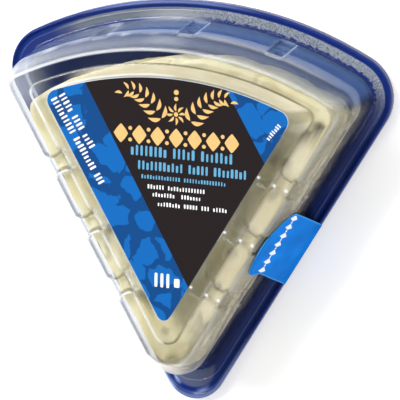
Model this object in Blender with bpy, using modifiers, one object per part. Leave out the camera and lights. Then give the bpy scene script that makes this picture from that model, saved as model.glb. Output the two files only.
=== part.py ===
"""A wedge of blue cheese in its shut retail pack.

A blue moulded base carries the cheese, a clear moulded dome is sealed on the base, a printed
label lies on the dome's raised top and a seal tab runs from the dome's right wall over the rim.
The pack lies flat: label up, +Y towards the curved side, tip towards -Y, bottom at z = 0.
"""

import math

import bmesh
import bpy

# Every outline is a rounded sector: two straight sides that would meet at the wheel's centre, a
# curved side about that centre, a rounded tip and two rounded corners.  A ring of a part is
# (side, arc, tip, corner, z): how far the straight sides and the curved side stand outside the
# nominal sector, the radii of the tip and of the corners, and the height over the flange.
HALF_ANGLE = math.radians(29.8)
SECTOR_RADIUS = 0.1006

FLANGE_HEIGHT = 0.0025        # top of the base's flange over the table

# Sampling along an outline; the same for every ring of a part.
TIP_STEPS = 12
CORNER_STEPS = 8
ARC_LIMIT = 20.0              # degrees; inside it the stations are the same for all rings
ARC_STEP = 2.0
ARC_CLEAR = 0.45              # degrees that other stations keep from the flutes' own

# Grooves that part the ledge of the dome into bays, on each straight side.
GROOVE_ALONG = (0.0334, 0.0533, 0.0730)
GROOVE_HALF = 0.0021
GROOVE_RAMP = 0.0008
GROOVE_DROP = 0.0012          # how deep a groove is below the ledge
GROOVE_FLUTE = 0.0003         # how far it cuts into the outer wall
LEDGE_HEIGHT = 0.0255
GROOVE_FULL, GROOVE_FADE = 0.0012, 0.0060     # it is full this near the ledge, then fades out
BAY_STATIONS = (0.0255, 0.0434, 0.0632, 0.0835)

# Flutes in the lower wall of the dome, on the curved side.
FLUTE_ANGLES = (-14.0, 0.7, 15.4)
FLUTE_HALF = 1.15
FLUTE_RAMP = 0.22
FLUTE_DEPTH = 0.0008

# Blue base: a sheet with a turned-down rim, a flat flange and a sunk floor.
BASE_SHEET = 0.0008
BASE_RINGS = (
    (0.00945, 0.00945, 0.0092, 0.0131, -0.0022),
    (0.00940, 0.00940, 0.0091, 0.0130, 0.0000),
    (0.00925, 0.00925, 0.0090, 0.0128, 0.0004),
    (0.00885, 0.00885, 0.0089, 0.0124, 0.0007),
    (0.00845, 0.00845, 0.0088, 0.0120, 0.0005),
    (0.00800, 0.00800, 0.0087, 0.0116, 0.0000),
    (0.00380, 0.00380, 0.0086, 0.0074, 0.0000),
    (0.00330, 0.00330, 0.0085, 0.0069, -0.0003),
    (0.00290, 0.00290, 0.0084, 0.0065, -0.0014),
    (0.00240, 0.00240, 0.0083, 0.0060, -0.0017),
)

# Clear dome, from the edge of its flange up the wall, over the ledge and up to the label's table.
# The two shares at the end are how much of a groove and of a flute the ring takes.
DOME_SHEET = 0.0006
DOME_RINGS = (
    (0.00690, 0.00690, 0.0090, 0.0105, 0.0009, 0.0, 0.0),
    (0.00490, 0.00490, 0.0091, 0.0085, 0.0009, 0.0, 0.0),
    (0.00445, 0.00445, 0.0091, 0.0080, 0.0012, 0.0, 0.0),
    (0.00420, 0.00420, 0.0092, 0.0077, 0.0018, 0.0, 0.0),
    (0.00410, 0.00410, 0.0092, 0.0077, 0.0028, 0.3, 1.0),
    (0.00350, 0.00350, 0.0092, 0.0070, 0.0158, 0.5, 1.0),
    (0.00325, 0.00325, 0.0092, 0.0067, 0.0172, 0.6, 0.0),
    (0.00285, 0.00270, 0.0091, 0.0062, 0.0180, 0.7, 0.0),
    (0.00085, 0.00105, 0.0088, 0.0040, 0.0241, 1.0, 0.0),
    (0.00055, 0.00075, 0.0087, 0.0036, 0.0249, 1.0, 0.0),
    (0.00020, 0.00040, 0.0086, 0.0032, 0.0253, 1.0, 0.0),
    (-0.00040, -0.00020, 0.0081, 0.0028, 0.0255, 1.0, 0.0),
    (-0.00490, -0.00380, 0.0042, 0.0030, 0.0255, 1.0, 0.0),
    (-0.00540, -0.00420, 0.0038, 0.0030, 0.0256, 0.5, 0.0),
    (-0.00890, -0.00630, 0.0016, 0.0034, 0.0277, 0.0, 0.0),
    (-0.00935, -0.00675, 0.0013, 0.0035, 0.0280, 0.0, 0.0),
)

# Printed label on the dome's table.
LABEL_RING = (-0.00977, -0.00714, 0.0022, 0.0034)
LABEL_BOTTOM = 0.0283
LABEL_THICKNESS = 0.0002

# Seal tab: (side, z) of its inner face.  Its end is stuck to the dome's right shoulder; from the
# knee there it spans to the rim in one slanting plane, and it is folded down over the rim.
TAB_THICKNESS = 0.0003
TAB_PATH = (
    (0.00150, 0.0233),
    (0.00268, 0.0197),
    (0.00362, 0.0174),
    (0.00395, 0.0162),
    (0.00566, 0.0113),
    (0.00737, 0.0065),
    (0.00908, 0.0016),
    (0.00960, 0.0008),
    (0.00985, 0.0002),
    (0.00990, -0.0006),
)
TAB_KNEE = 3                  # the station of the path where the tab leaves the dome
# Places along the side of the tab's two edges: at its top, at the knee and at the rim.
TAB_LOW = (0.0418, 0.0431, 0.0379)
TAB_HIGH = (0.0649, 0.0649, 0.0600)
TAB_CREST = 0.0524            # where the tab's top edge stands highest
TAB_FALL = (0.0021, 0.0062)   # how much lower that edge is at the low and at the high end
TAB_CORNER = (0.0026, 0.0006)
TAB_COLUMNS = 28

# Cheese: (side, arc, tip, corner, z) from the floor up to the rounded top edge.
CHEESE_RINGS = (
    (-0.00060, -0.00660, 0.0042, 0.0050, -0.0014),
    (0.00110, -0.00500, 0.0046, 0.0058, -0.0009),
    (0.00160, -0.00430, 0.0048, 0.0062, 0.0010),
    (0.00130, -0.00350, 0.0048, 0.0060, 0.0050),
    (0.00080, -0.00280, 0.0048, 0.0056, 0.0100),
    (0.00025, -0.00210, 0.0048, 0.0052, 0.0150),
    (-0.00005, -0.00150, 0.0056, 0.0048, 0.0195),
    (-0.00025, -0.00130, 0.0064, 0.0046, 0.0218),
    (-0.00060, -0.00160, 0.0066, 0.0044, 0.0227),
    (-0.00150, -0.00260, 0.0064, 0.0042, 0.0231),
)
CHEESE_TOP_SHARES = (0.93, 0.84, 0.73, 0.60, 0.46, 0.30, 0.15)
CHEESE_TOP = 0.0232
CHEESE_MIDDLE = 0.060         # on the wedge's middle line, from the wheel's centre
CHEESE_SHORT = 0.0062         # how much shorter the wedge is at its left corner
LEFT_FROM, LEFT_SPAN = 6.0, 33.0          # degrees over which it gets shorter
SHORT_FROM, SHORT_SPAN = 0.070, 0.025     # from the wheel's centre
CHEESE_ROUGH = 0.00035        # how uneven the cut sides are, and how far the cut lies inwards
SIDE_INWARD = 0.7
TOP_ROUGH, TOP_INWARD = 0.6, 0.9
HOLE_REACH = 1.6              # a hole's rim, in its radii
# Holes and crumbled spots in the top: x, y from the wheel's centre, radius, depth.
CHEESE_HOLES = (
    (0.0411, 0.0786, 0.0021, 0.0020),
    (0.0434, 0.0812, 0.0020, 0.0016),
    (0.0338, 0.0704, 0.0018, 0.0012),
    (0.0304, 0.0610, 0.0015, 0.0010),
    (0.0178, 0.0424, 0.0013, 0.0010),
    (0.0080, 0.0205, 0.0024, 0.0020),
    (-0.0180, 0.0460, 0.0015, 0.0010),
    (-0.0300, 0.0705, 0.0017, 0.0010),
    (-0.0080, 0.0270, 0.0016, 0.0012),
)

# The wheel's centre in the part's frame, whose origin is under the middle of the base.
RIM_SIDE, RIM_ARC, RIM_TIP = BASE_RINGS[0][:3]
TIP_REACH = (RIM_SIDE - RIM_TIP) / math.sin(HALF_ANGLE) + RIM_TIP
CENTRE_Y = -(SECTOR_RADIUS + RIM_ARC - TIP_REACH) / 2


def ramp(distance, half, edge):
    """1 inside half, 0 outside half + edge, straight between them."""
    if distance <= half:
        return 1.0
    if distance >= half + edge:
        return 0.0
    return (half + edge - distance) / edge


def groove_share(along):
    return max(ramp(abs(along - centre), GROOVE_HALF, GROOVE_RAMP) for centre in GROOVE_ALONG)


def flute_share(angle):
    return max(ramp(abs(angle - centre), FLUTE_HALF, FLUTE_RAMP) for centre in FLUTE_ANGLES)


def side_stations():
    stations = list(BAY_STATIONS)
    for centre in GROOVE_ALONG:
        for reach in (GROOVE_HALF + GROOVE_RAMP, GROOVE_HALF):
            stations.extend((centre - reach, centre + reach))
        stations.append(centre)
    return sorted(stations)


def arc_stations():
    stations = []
    for centre in FLUTE_ANGLES:
        for reach in (FLUTE_HALF + FLUTE_RAMP, FLUTE_HALF):
            stations.extend((centre - reach, centre + reach))
        stations.append(centre)
    angle = -ARC_LIMIT
    while angle <= ARC_LIMIT:
        if all(abs(angle - other) > ARC_CLEAR for other in stations):
            stations.append(angle)
        angle += ARC_STEP
    return sorted(stations)


SIDE_STATIONS = side_stations()
ARC_STATIONS = arc_stations()


def outline(side, arc, tip, corner, groove=0.0, flute=0.0):
    """Points (x, y, drop) of a rounded sector, anticlockwise from the tip's left end.

    drop is the depth that the grooves of the ledge take from the height there.
    """
    sin_a = math.sin(HALF_ANGLE)
    cos_a = math.cos(HALF_ANGLE)
    radius = SECTOR_RADIUS + arc
    points = []
    tip_y = (tip - side) / sin_a
    turn = math.pi - 2 * HALF_ANGLE
    for step in range(TIP_STEPS + 1):
        angle = math.pi + HALF_ANGLE + turn * step / TIP_STEPS
        points.append((tip * math.cos(angle), tip_y + tip * math.sin(angle), 0.0))
    centre_angle = HALF_ANGLE - math.asin((corner - side) / (radius - corner))
    centre_x = (radius - corner) * math.sin(centre_angle)
    centre_y = (radius - corner) * math.cos(centre_angle)

    def side_point(along, sign):
        share = groove * groove_share(along)
        out = side - GROOVE_FLUTE * share
        x = along * sin_a + out * cos_a
        y = along * cos_a - out * sin_a
        return (sign * x, y, GROOVE_DROP * share)

    def corner_arc():
        arc_points = []
        for step in range(CORNER_STEPS + 1):
            span = math.pi / 2 - centre_angle + HALF_ANGLE
            angle = -HALF_ANGLE + span * step / CORNER_STEPS
            x = centre_x + corner * math.cos(angle)
            y = centre_y + corner * math.sin(angle)
            arc_points.append((x, y, 0.0))
        return arc_points

    def arc_point(angle):
        reach = radius - FLUTE_DEPTH * flute * flute_share(angle)
        spot = math.radians(angle)
        return (reach * math.sin(spot), reach * math.cos(spot), 0.0)

    points.extend(side_point(along, 1) for along in SIDE_STATIONS)
    points.extend(corner_arc())
    limit = math.degrees(centre_angle)
    points.append(arc_point((limit + ARC_LIMIT) / 2))
    points.extend(arc_point(angle) for angle in reversed(ARC_STATIONS))
    points.append(arc_point(-(limit + ARC_LIMIT) / 2))
    points.extend((-x, y, drop) for x, y, drop in reversed(corner_arc()))
    points.extend(side_point(along, -1) for along in reversed(SIDE_STATIONS))
    return points


def ring_points(ring):
    """The ring's points in the part's frame."""
    side, arc, tip, corner, height = ring[:5]
    groove, flute = ring[5:] if len(ring) > 5 else (0.0, 0.0)
    loop = outline(side, arc, tip, corner, groove, flute)
    return [(x, y + CENTRE_Y, height + FLANGE_HEIGHT - groove_depth(drop, ring))
            for x, y, drop in loop]


def groove_depth(drop, ring):
    """The grooves lower the ledge and its edges, and fade out down the wall."""
    return drop * ramp(abs(ring[4] - LEDGE_HEIGHT), GROOVE_FULL, GROOVE_FADE)


def material(name, colour, roughness, alpha=1.0):
    made = bpy.data.materials.new(name)
    made.use_nodes = True
    shader = made.node_tree.nodes["Principled BSDF"]
    shader.inputs["Base Color"].default_value = (*colour, 1.0)
    shader.inputs["Roughness"].default_value = roughness
    shader.inputs["Alpha"].default_value = alpha
    return made


def add_object(name, bm, look):
    mesh = bpy.data.meshes.new(name)
    bm.to_mesh(mesh)
    bm.free()
    mesh.materials.append(look)
    made = bpy.data.objects.new(name, mesh)
    PACK.objects.link(made)
    return made


def loft(bm, loops):
    """Skins a list of equal loops and closes the last one with a flat face."""
    rows = [[bm.verts.new(point) for point in loop] for loop in loops]
    count = len(rows[0])
    for lower, upper in zip(rows, rows[1:]):
        for i in range(count):
            j = (i + 1) % count
            bm.faces.new((lower[i], lower[j], upper[j], upper[i]))
    bm.faces.new(rows[-1])
    return rows


def add_sheet(name, bm, thickness, offset, look):
    """An open surface with its faces outwards; Solidify gives it the sheet's thickness."""
    made = add_object(name, bm, look)
    solidify = made.modifiers.new("sheet", "SOLIDIFY")
    solidify.thickness = thickness
    solidify.offset = offset
    solidify.use_even_offset = True
    return made


def make_base():
    """The rim turns down at the outside; the floor's underside is what the pack rests on."""
    bm = bmesh.new()
    loft(bm, [ring_points(ring) for ring in BASE_RINGS])
    look = material("blue_sheet", (0.02, 0.045, 0.42), 0.25)
    return add_sheet("base_tray", bm, BASE_SHEET, -1, look)


def make_dome():
    """One sheet, open at its foot: the table, the ledge in bays, the wall and the flange."""
    bm = bmesh.new()
    loft(bm, [ring_points(ring) for ring in DOME_RINGS])
    look = material("clear_sheet", (0.86, 0.88, 0.90), 0.08, 0.3)
    return add_sheet("clear_dome", bm, DOME_SHEET, -1, look)


def make_label():
    curve = bpy.data.curves.new("label", "CURVE")
    curve.dimensions = "2D"
    curve.fill_mode = "BOTH"
    curve.extrude = LABEL_THICKNESS / 2
    loop = ring_points((*LABEL_RING, LABEL_BOTTOM + LABEL_THICKNESS / 2))
    spline = curve.splines.new("POLY")
    spline.points.add(len(loop) - 1)
    for point, (x, y, _) in zip(spline.points, loop):
        point.co = (x, y, 0.0, 1.0)
    spline.use_cyclic_u = True
    curve.materials.append(material("label_print", (0.03, 0.10, 0.35), 0.4))
    made = bpy.data.objects.new("label", curve)
    made.location.z = loop[0][2]
    PACK.objects.link(made)
    return made


def tab_drop(along):
    """How far down the shoulder the tab's top edge is below its crest."""
    low_end = along < TAB_CREST
    end = TAB_LOW[0] if low_end else TAB_HIGH[0]
    fall = TAB_FALL[0] if low_end else TAB_FALL[1]
    corner = TAB_CORNER[0] if low_end else TAB_CORNER[1]
    drop = fall * ((along - TAB_CREST) / (end - TAB_CREST)) ** 2
    from_end = abs(along - end)
    if from_end < corner:
        drop += corner - math.sqrt(corner ** 2 - (corner - from_end) ** 2)
    return drop


def tab_side(places, distance, reach):
    """Where one edge of the tab is along the side, at a distance down the path."""
    top, knee, rim = places
    if distance < reach[TAB_KNEE]:
        return top + (knee - top) * distance / reach[TAB_KNEE]
    return knee + (rim - knee) * (distance - reach[TAB_KNEE]) / (reach[-1] - reach[TAB_KNEE])


def tab_row(share, reach):
    """One line of the tab from its top edge to the rim; share 0 is the tip's end of the tab."""
    start = tab_drop(TAB_LOW[0] + (TAB_HIGH[0] - TAB_LOW[0]) * share)
    row = []
    for i in range(len(TAB_PATH)):
        # The stations above the knee close up, so that the row starts at the top edge.
        distance = reach[i]
        if i < TAB_KNEE:
            distance = start + (reach[TAB_KNEE] - start) * reach[i] / reach[TAB_KNEE]
        k = max(j for j in range(len(TAB_PATH) - 1) if reach[j] <= distance + 1e-9)
        part = (distance - reach[k]) / (reach[k + 1] - reach[k])
        side = TAB_PATH[k][0] + (TAB_PATH[k + 1][0] - TAB_PATH[k][0]) * part
        height = TAB_PATH[k][1] + (TAB_PATH[k + 1][1] - TAB_PATH[k][1]) * part
        low = tab_side(TAB_LOW, distance, reach)
        high = tab_side(TAB_HIGH, distance, reach)
        along = low + (high - low) * share
        x = along * math.sin(HALF_ANGLE) + side * math.cos(HALF_ANGLE)
        y = along * math.cos(HALF_ANGLE) - side * math.sin(HALF_ANGLE)
        row.append((x, y + CENTRE_Y, height + FLANGE_HEIGHT))
    return row


def make_tab():
    """A strip stuck to the dome's right shoulder that spans to the rim and is folded over it."""
    reach = [0.0]
    for a, b in zip(TAB_PATH, TAB_PATH[1:]):
        reach.append(reach[-1] + math.hypot(b[0] - a[0], b[1] - a[1]))
    bm = bmesh.new()
    rows = []
    for column in range(TAB_COLUMNS + 1):
        rows.append([bm.verts.new(point) for point in tab_row(column / TAB_COLUMNS, reach)])
    for left, right in zip(rows, rows[1:]):
        for i in range(len(TAB_PATH) - 1):
            bm.faces.new((left[i], left[i + 1], right[i + 1], right[i]))
    look = material("tab_print", (0.01, 0.18, 0.68), 0.35)
    return add_sheet("seal_tab", bm, TAB_THICKNESS, 1, look)


def unevenness(x, y, z):
    """A fixed, smooth unevenness between about -1 and 1, like a crumbly cut."""
    total = 0.62 * math.sin(210 * x + 95 * y + 60 * z + 0.4) * math.sin(150 * y - 180 * x + 1.3)
    total += 0.38 * math.sin(520 * x - 340 * y + 410 * z + 2.1)
    total += 0.30 * math.sin(900 * y + 640 * x - 700 * z + 0.7) * math.sin(760 * x - 300 * z)
    return total


def cheese_point(x, y, height):
    """Shortens the wedge towards its left corner and makes the cut uneven."""
    reach = math.hypot(x, y)
    left = min(1.0, max(0.0, (LEFT_FROM - math.degrees(math.atan2(x, y))) / LEFT_SPAN))
    far = min(1.0, max(0.0, (reach - SHORT_FROM) / SHORT_SPAN))
    inward = CHEESE_SHORT * left ** 1.1 * far
    x -= x / max(reach, 0.001) * inward
    y -= y / max(reach, 0.001) * inward
    from_middle = math.hypot(x, y - CHEESE_MIDDLE)
    push = CHEESE_ROUGH * (unevenness(x, y, height) - SIDE_INWARD)
    x += x / from_middle * push
    y += (y - CHEESE_MIDDLE) / from_middle * push
    return x, y


def hole_depth(x, y):
    depth = 0.0
    for hole_x, hole_y, radius, deep in CHEESE_HOLES:
        away = math.hypot(x - hole_x, y - hole_y) / radius
        if away < HOLE_REACH:
            depth = max(depth, deep / 2 * (1 + math.cos(math.pi * away / HOLE_REACH)))
    return depth


def make_cheese():
    """The wedge is wider at its foot, rounded at the wheel's edge, and crumbly on top."""
    bm = bmesh.new()
    loops = []
    for side, arc, tip, corner, height in CHEESE_RINGS:
        loop = []
        for x, y, _ in outline(side, arc, tip, corner):
            x, y = cheese_point(x, y, height)
            loop.append((x, y + CENTRE_Y, height + FLANGE_HEIGHT))
        loops.append(loop)
    side, arc, tip, corner, edge_height = CHEESE_RINGS[-1]
    edge = [cheese_point(x, y, edge_height) for x, y, _ in outline(side, arc, tip, corner)]
    for share in CHEESE_TOP_SHARES:
        loop = []
        for x, y in edge:
            x *= share
            y = CHEESE_MIDDLE + (y - CHEESE_MIDDLE) * share
            height = CHEESE_TOP - hole_depth(x, y)
            height += CHEESE_ROUGH * TOP_ROUGH * (unevenness(x, y, 0.0) - TOP_INWARD)
            loop.append((x, y + CENTRE_Y, height + FLANGE_HEIGHT))
        loops.append(loop)
    rows = loft(bm, loops)
    bm.faces.new(reversed(rows[0]))
    return add_object("cheese_wedge", bm, material("cheese", (0.80, 0.74, 0.50), 0.55))


for old in list(bpy.data.objects):
    bpy.data.objects.remove(old, do_unlink=True)

PACK = bpy.data.collections.new("cheese_wedge_pack")
bpy.context.scene.collection.children.link(PACK)

make_base()
make_dome()
make_cheese()
make_label()
make_tab()
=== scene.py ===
"""A wedge of blue cheese in its shut retail pack, lying flat with its label up.

The solids of the frame give every place and size.  Each section makes one piece: the blue base,
the cheese, the clear dome, the label with its print, and the seal tab.
"""

import math

import bmesh
import bpy
import numpy as np
from mathutils import Matrix, Vector, noise


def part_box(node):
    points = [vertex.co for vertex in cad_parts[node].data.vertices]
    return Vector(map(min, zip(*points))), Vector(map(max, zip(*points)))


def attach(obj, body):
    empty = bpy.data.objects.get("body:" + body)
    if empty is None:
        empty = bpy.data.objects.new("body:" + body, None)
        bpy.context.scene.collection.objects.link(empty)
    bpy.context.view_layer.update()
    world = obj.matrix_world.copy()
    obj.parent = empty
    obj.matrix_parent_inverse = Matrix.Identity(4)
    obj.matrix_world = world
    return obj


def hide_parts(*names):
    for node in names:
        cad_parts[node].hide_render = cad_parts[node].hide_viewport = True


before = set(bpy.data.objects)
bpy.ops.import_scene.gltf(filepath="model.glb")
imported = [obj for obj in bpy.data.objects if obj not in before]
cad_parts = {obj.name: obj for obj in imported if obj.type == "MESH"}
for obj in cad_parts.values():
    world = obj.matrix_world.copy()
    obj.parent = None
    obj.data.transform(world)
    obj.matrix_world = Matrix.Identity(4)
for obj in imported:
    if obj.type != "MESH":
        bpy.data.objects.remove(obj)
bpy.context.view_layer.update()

# Camera.  The pack is seen from above, leaning away from upright over its curved side and its
# right side, from far off with a long lens.  The angles and the scale come from the outlines of
# the base, the dome's edge and the label in the 400 x 400 photograph.

VIEW_TILT = math.radians(23.62)       # between the line of sight and straight down
VIEW_LEAN = math.radians(143.87)      # where the pack's top leans in the picture, x right, y down
VIEW_ROLL = math.radians(-3.41)
VIEW_DISTANCE = 1.2048
PIXELS_PER_METRE = 3430.0             # in the picture, at the aimed point
PICTURE_WIDTH = 400
SENSOR_WIDTH = 0.036

AIM = Vector((0.0009, 0.0008, 0.0025))


def camera_axes():
    """The picture's right, down and forward directions in the part's frame."""
    lean = Vector((math.cos(VIEW_LEAN), math.sin(VIEW_LEAN)))
    side = Vector((-lean.y, lean.x))
    columns = []
    for axis in (Vector((1, 0, 0)), Vector((0, 1, 0)), Vector((0, 0, 1))):
        turned_x = math.cos(VIEW_ROLL) * axis.x - math.sin(VIEW_ROLL) * axis.y
        turned_y = math.sin(VIEW_ROLL) * axis.x + math.cos(VIEW_ROLL) * axis.y
        flat = Vector((turned_x, -turned_y))
        along = flat.dot(lean) * math.cos(VIEW_TILT) + axis.z * math.sin(VIEW_TILT)
        depth = flat.dot(lean) * math.sin(VIEW_TILT) - axis.z * math.cos(VIEW_TILT)
        picture = lean * along + side * flat.dot(side)
        columns.append((picture.x, picture.y, depth))
    right, down, forward = zip(*columns)
    return Vector(right), Vector(down), Vector(forward)


camera_data = bpy.data.cameras.new("camera")
camera_data.sensor_width = SENSOR_WIDTH * 1000
camera_data.lens = PIXELS_PER_METRE * VIEW_DISTANCE * SENSOR_WIDTH / PICTURE_WIDTH * 1000
camera_data.clip_start = 0.05
camera_data.clip_end = 20
camera = bpy.data.objects.new("camera", camera_data)
bpy.context.scene.collection.objects.link(camera)
right, down, forward = camera_axes()
camera_turn = Matrix((right, -down, -forward)).transposed().to_4x4()
camera.matrix_world = Matrix.Translation(AIM - forward * VIEW_DISTANCE) @ camera_turn
bpy.context.scene.camera = camera

# Floor and light.  A pale floor, four soft lights round the pack (the largest on the picture's
# left, a wide one behind the curved side) and an even white surround.

FLOOR_HALF = 3.0
FLOOR_Z = -0.0001
FLOOR_TONES = (0.86, 0.90)
FLOOR_GLOW = 0.42
# Name, place, size in metres, power in watts.
SOFT_LIGHTS = (
    ("key_light", (-0.58, 0.44, 0.74), (0.60, 0.24), 8.6),
    ("back_light", (-0.25, 0.80, 0.70), (1.20, 0.40), 5.0),
    ("fill_light", (0.85, -0.45, 0.62), (0.80, 0.50), 6.0),
    ("left_light", (-0.80, -0.50, 0.55), (0.60, 0.12), 1.6),
)
SURROUND = 0.26

bpy.context.scene.view_settings.view_transform = "Standard"


def new_material(name):
    """A material with its tree of nodes and its main shader."""
    made = bpy.data.materials.new(name)
    made.use_nodes = True
    return made, made.node_tree, made.node_tree.nodes["Principled BSDF"]


def set_inputs(tree, node, inputs):
    """Each input gets a plain value, or a link from another node's output."""
    for name, value in inputs.items():
        if isinstance(value, bpy.types.NodeSocket):
            tree.links.new(value, node.inputs[name])
        else:
            node.inputs[name].default_value = value


def add_node(tree, kind, inputs=None, **settings):
    node = tree.nodes.new(kind)
    for name, value in settings.items():
        setattr(node, name, value)
    set_inputs(tree, node, inputs or {})
    return node


def ranged(tree, value, low, high, to_low=0.0, to_high=1.0):
    """The value spread so that low becomes to_low and high becomes to_high, and held there."""
    spread = {"Value": value, "From Min": low, "From Max": high,
              "To Min": to_low, "To Max": to_high}
    return add_node(tree, "ShaderNodeMapRange", spread).outputs["Result"]


def pale_floor():
    made, tree, shader = new_material("pale_floor")
    speckle = add_node(tree, "ShaderNodeTexNoise", {"Scale": 4.0}).outputs["Fac"]
    tone = ranged(tree, speckle, 0.0, 1.0, *FLOOR_TONES)
    set_inputs(tree, shader, {"Base Color": tone, "Emission Color": tone,
                              "Emission Strength": FLOOR_GLOW, "Roughness": 0.9})
    return made


floor_mesh = bpy.data.meshes.new("floor")
floor_mesh.from_pydata(
    [(x * FLOOR_HALF, y * FLOOR_HALF, FLOOR_Z) for x, y in ((-1, -1), (1, -1), (1, 1), (-1, 1))],
    [], [(0, 1, 2, 3)])
floor_mesh.materials.append(pale_floor())
floor = bpy.data.objects.new("floor", floor_mesh)
bpy.context.scene.collection.objects.link(floor)


def soft_light(name, place, size, power):
    """A flat rectangular light that faces the pack."""
    data = bpy.data.lights.new(name, "AREA")
    data.shape = "RECTANGLE"
    data.size, data.size_y = size
    data.energy = power
    made = bpy.data.objects.new(name, data)
    away = place.normalized()
    across = Vector((0, 0, 1)).cross(away).normalized()
    turn = Matrix((across, away.cross(across), away)).transposed().to_4x4()
    made.matrix_world = Matrix.Translation(place) @ turn
    bpy.context.scene.collection.objects.link(made)


for name, place, size, power in SOFT_LIGHTS:
    soft_light(name, Vector(place), size, power)

world = bpy.data.worlds.new("surround")
world.use_nodes = True
world.node_tree.nodes["Background"].inputs["Color"].default_value = (1.0, 1.0, 1.0, 1.0)
world.node_tree.nodes["Background"].inputs["Strength"].default_value = SURROUND
bpy.context.scene.world = world

# Blue base.  A moulded sheet of glossy blue plastic: a turned-down rim with a rounded lip, a flat
# flange that the dome is welded to, and a sunk floor that carries the cheese.

HALF_ANGLE = math.radians(29.8)
SECTOR_RADIUS = 0.1006                # the nominal sector's curved side, from the wheel's centre
RIM_OUT = 0.00945
LIP_HEIGHT = 0.0007
BASE_SHEET = 0.0008
base_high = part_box("base_tray")[1]
CENTRE_Y = base_high[1] - SECTOR_RADIUS - RIM_OUT
FLANGE_Z = base_high[2] - LIP_HEIGHT
GROOVE_ALONG = (0.0334, 0.0533, 0.0730)
FLUTE_ANGLES = (-14.0, 0.7, 15.4)
# (side, arc, tip, corner, z): distances outside the nominal sector, radii and height.
BASE_RINGS = (
    (0.00945, 0.00945, 0.0092, 0.0131, -0.0022),
    (0.00945, 0.00945, 0.0092, 0.0131, -0.0004),
    (0.00938, 0.00938, 0.0091, 0.0130, 0.0001),
    (0.00920, 0.00920, 0.0090, 0.0128, 0.0005),
    (0.00885, 0.00885, 0.0089, 0.0124, 0.0007),
    (0.00850, 0.00850, 0.0088, 0.0120, 0.00055),
    (0.00830, 0.00830, 0.0088, 0.0118, 0.0002),
    (0.00800, 0.00800, 0.0087, 0.0116, 0.0000),
    (0.00750, 0.00750, 0.0087, 0.0112, 0.0000),
    (0.00725, 0.00725, 0.0087, 0.0109, 0.0000),
    (0.00700, 0.00700, 0.0087, 0.0107, 0.0000),
    (0.00675, 0.00675, 0.0087, 0.0104, 0.0000),
    (0.00650, 0.00650, 0.0087, 0.0102, 0.0000),
    (0.00600, 0.00600, 0.0087, 0.0097, 0.0000),
    (0.00530, 0.00530, 0.0086, 0.0089, 0.0000),
    (0.00450, 0.00450, 0.0086, 0.0081, 0.0000),
    (0.00380, 0.00380, 0.0086, 0.0074, 0.0000),
    (0.00345, 0.00345, 0.0085, 0.0070, -0.0001),
    (0.00320, 0.00320, 0.0085, 0.0068, -0.0005),
    (0.00290, 0.00290, 0.0084, 0.0065, -0.0013),
    (0.00260, 0.00260, 0.0084, 0.0062, -0.0016),
    (0.00220, 0.00220, 0.0083, 0.0058, -0.0017),
)
WELD_FADE_FROM, WELD_FADE_TO = 0.092, 0.106    # from the wheel's centre
# share of the weld shown on the straight sides, which are left as painted shade
WELD_ON_SIDES = 0.03
WELD_TIP, WELD_AT_TIP = 0.006, 0.50
LIP_FROM, LIP_TO = 0.00880, 0.00925
LIP_FOOT = 0.0082
LIP_HIGHLIGHT_LEFT = (-126.0, 30.0)            # the painted highlight on the lip is strongest here: angle and half width, in degrees
LIP_HIGHLIGHT_TIP, LIP_HIGHLIGHT_ARC = 0.32, 0.22       # and the painted highlight is this strong at the tip and on the curved side
# Painted reflections at the tip: angle and half width in degrees, distance from the wheel's centre.
TIP_REFLECTIONS = ((-126.0, 22.0, 0.0067, 0.8), (155.0, 24.0, 0.0071, 0.8))
STREAK_HALF = 0.00035
# Tones of the sheet, of the painted shade on its sunk floor, of the welded band and of the painted
# highlight on the lip.
BLUE_TONES = ((0.004, 0.017, 0.125), (0.007, 0.028, 0.220))
SUNK_SHADE_BLUE = (0.002, 0.011, 0.072)
WELD_TONES = ((0.105, 0.125, 0.165), (0.370, 0.395, 0.440))
LIP_HIGHLIGHT_TONE = (0.440, 0.580, 1.000)
# Millimetres outside the nominal sector: the edge of the painted shade on the sunk floor, and the
# weld's two edges.
SHADE_FROM, SHADE_FULL = 3.9, 3.0
WELD_INNER = (5.90, 6.15)
WELD_OUTER = (7.60, 7.35)
WELD_RAG = 2.6                        # how far the weld's inner edge wanders
TIP_STEPS = 28
CORNER_STEPS = 18
GROOVE_FINE, FLUTE_FINE = 0.0040, 1.8         # stations are close together within this much


def side_stations():
    """Places along a straight side: every 2 mm, and close together about the grooves."""
    stations = set(np.round(np.arange(0.022, 0.0861, 0.002), 5))
    for centre in GROOVE_ALONG:
        stations = {place for place in stations if abs(place - centre) > GROOVE_FINE}
        stations |= set(np.round(centre + np.arange(-GROOVE_FINE, 0.00401, 0.00025), 6))
    return np.array(sorted(stations))


def arc_stations():
    """Angles on the curved side, in degrees, close together about the flutes' edges."""
    stations = set(np.round(np.arange(-20.0, 20.01, 0.8), 3))
    for centre in FLUTE_ANGLES:
        stations = {angle for angle in stations if abs(angle - centre) > FLUTE_FINE}
        stations |= set(np.round(centre + np.arange(-FLUTE_FINE, 1.81, 0.12), 3))
    return np.array(sorted(stations, reverse=True))


SIDE_STATIONS = side_stations()
ARC_STATIONS = arc_stations()


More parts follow.
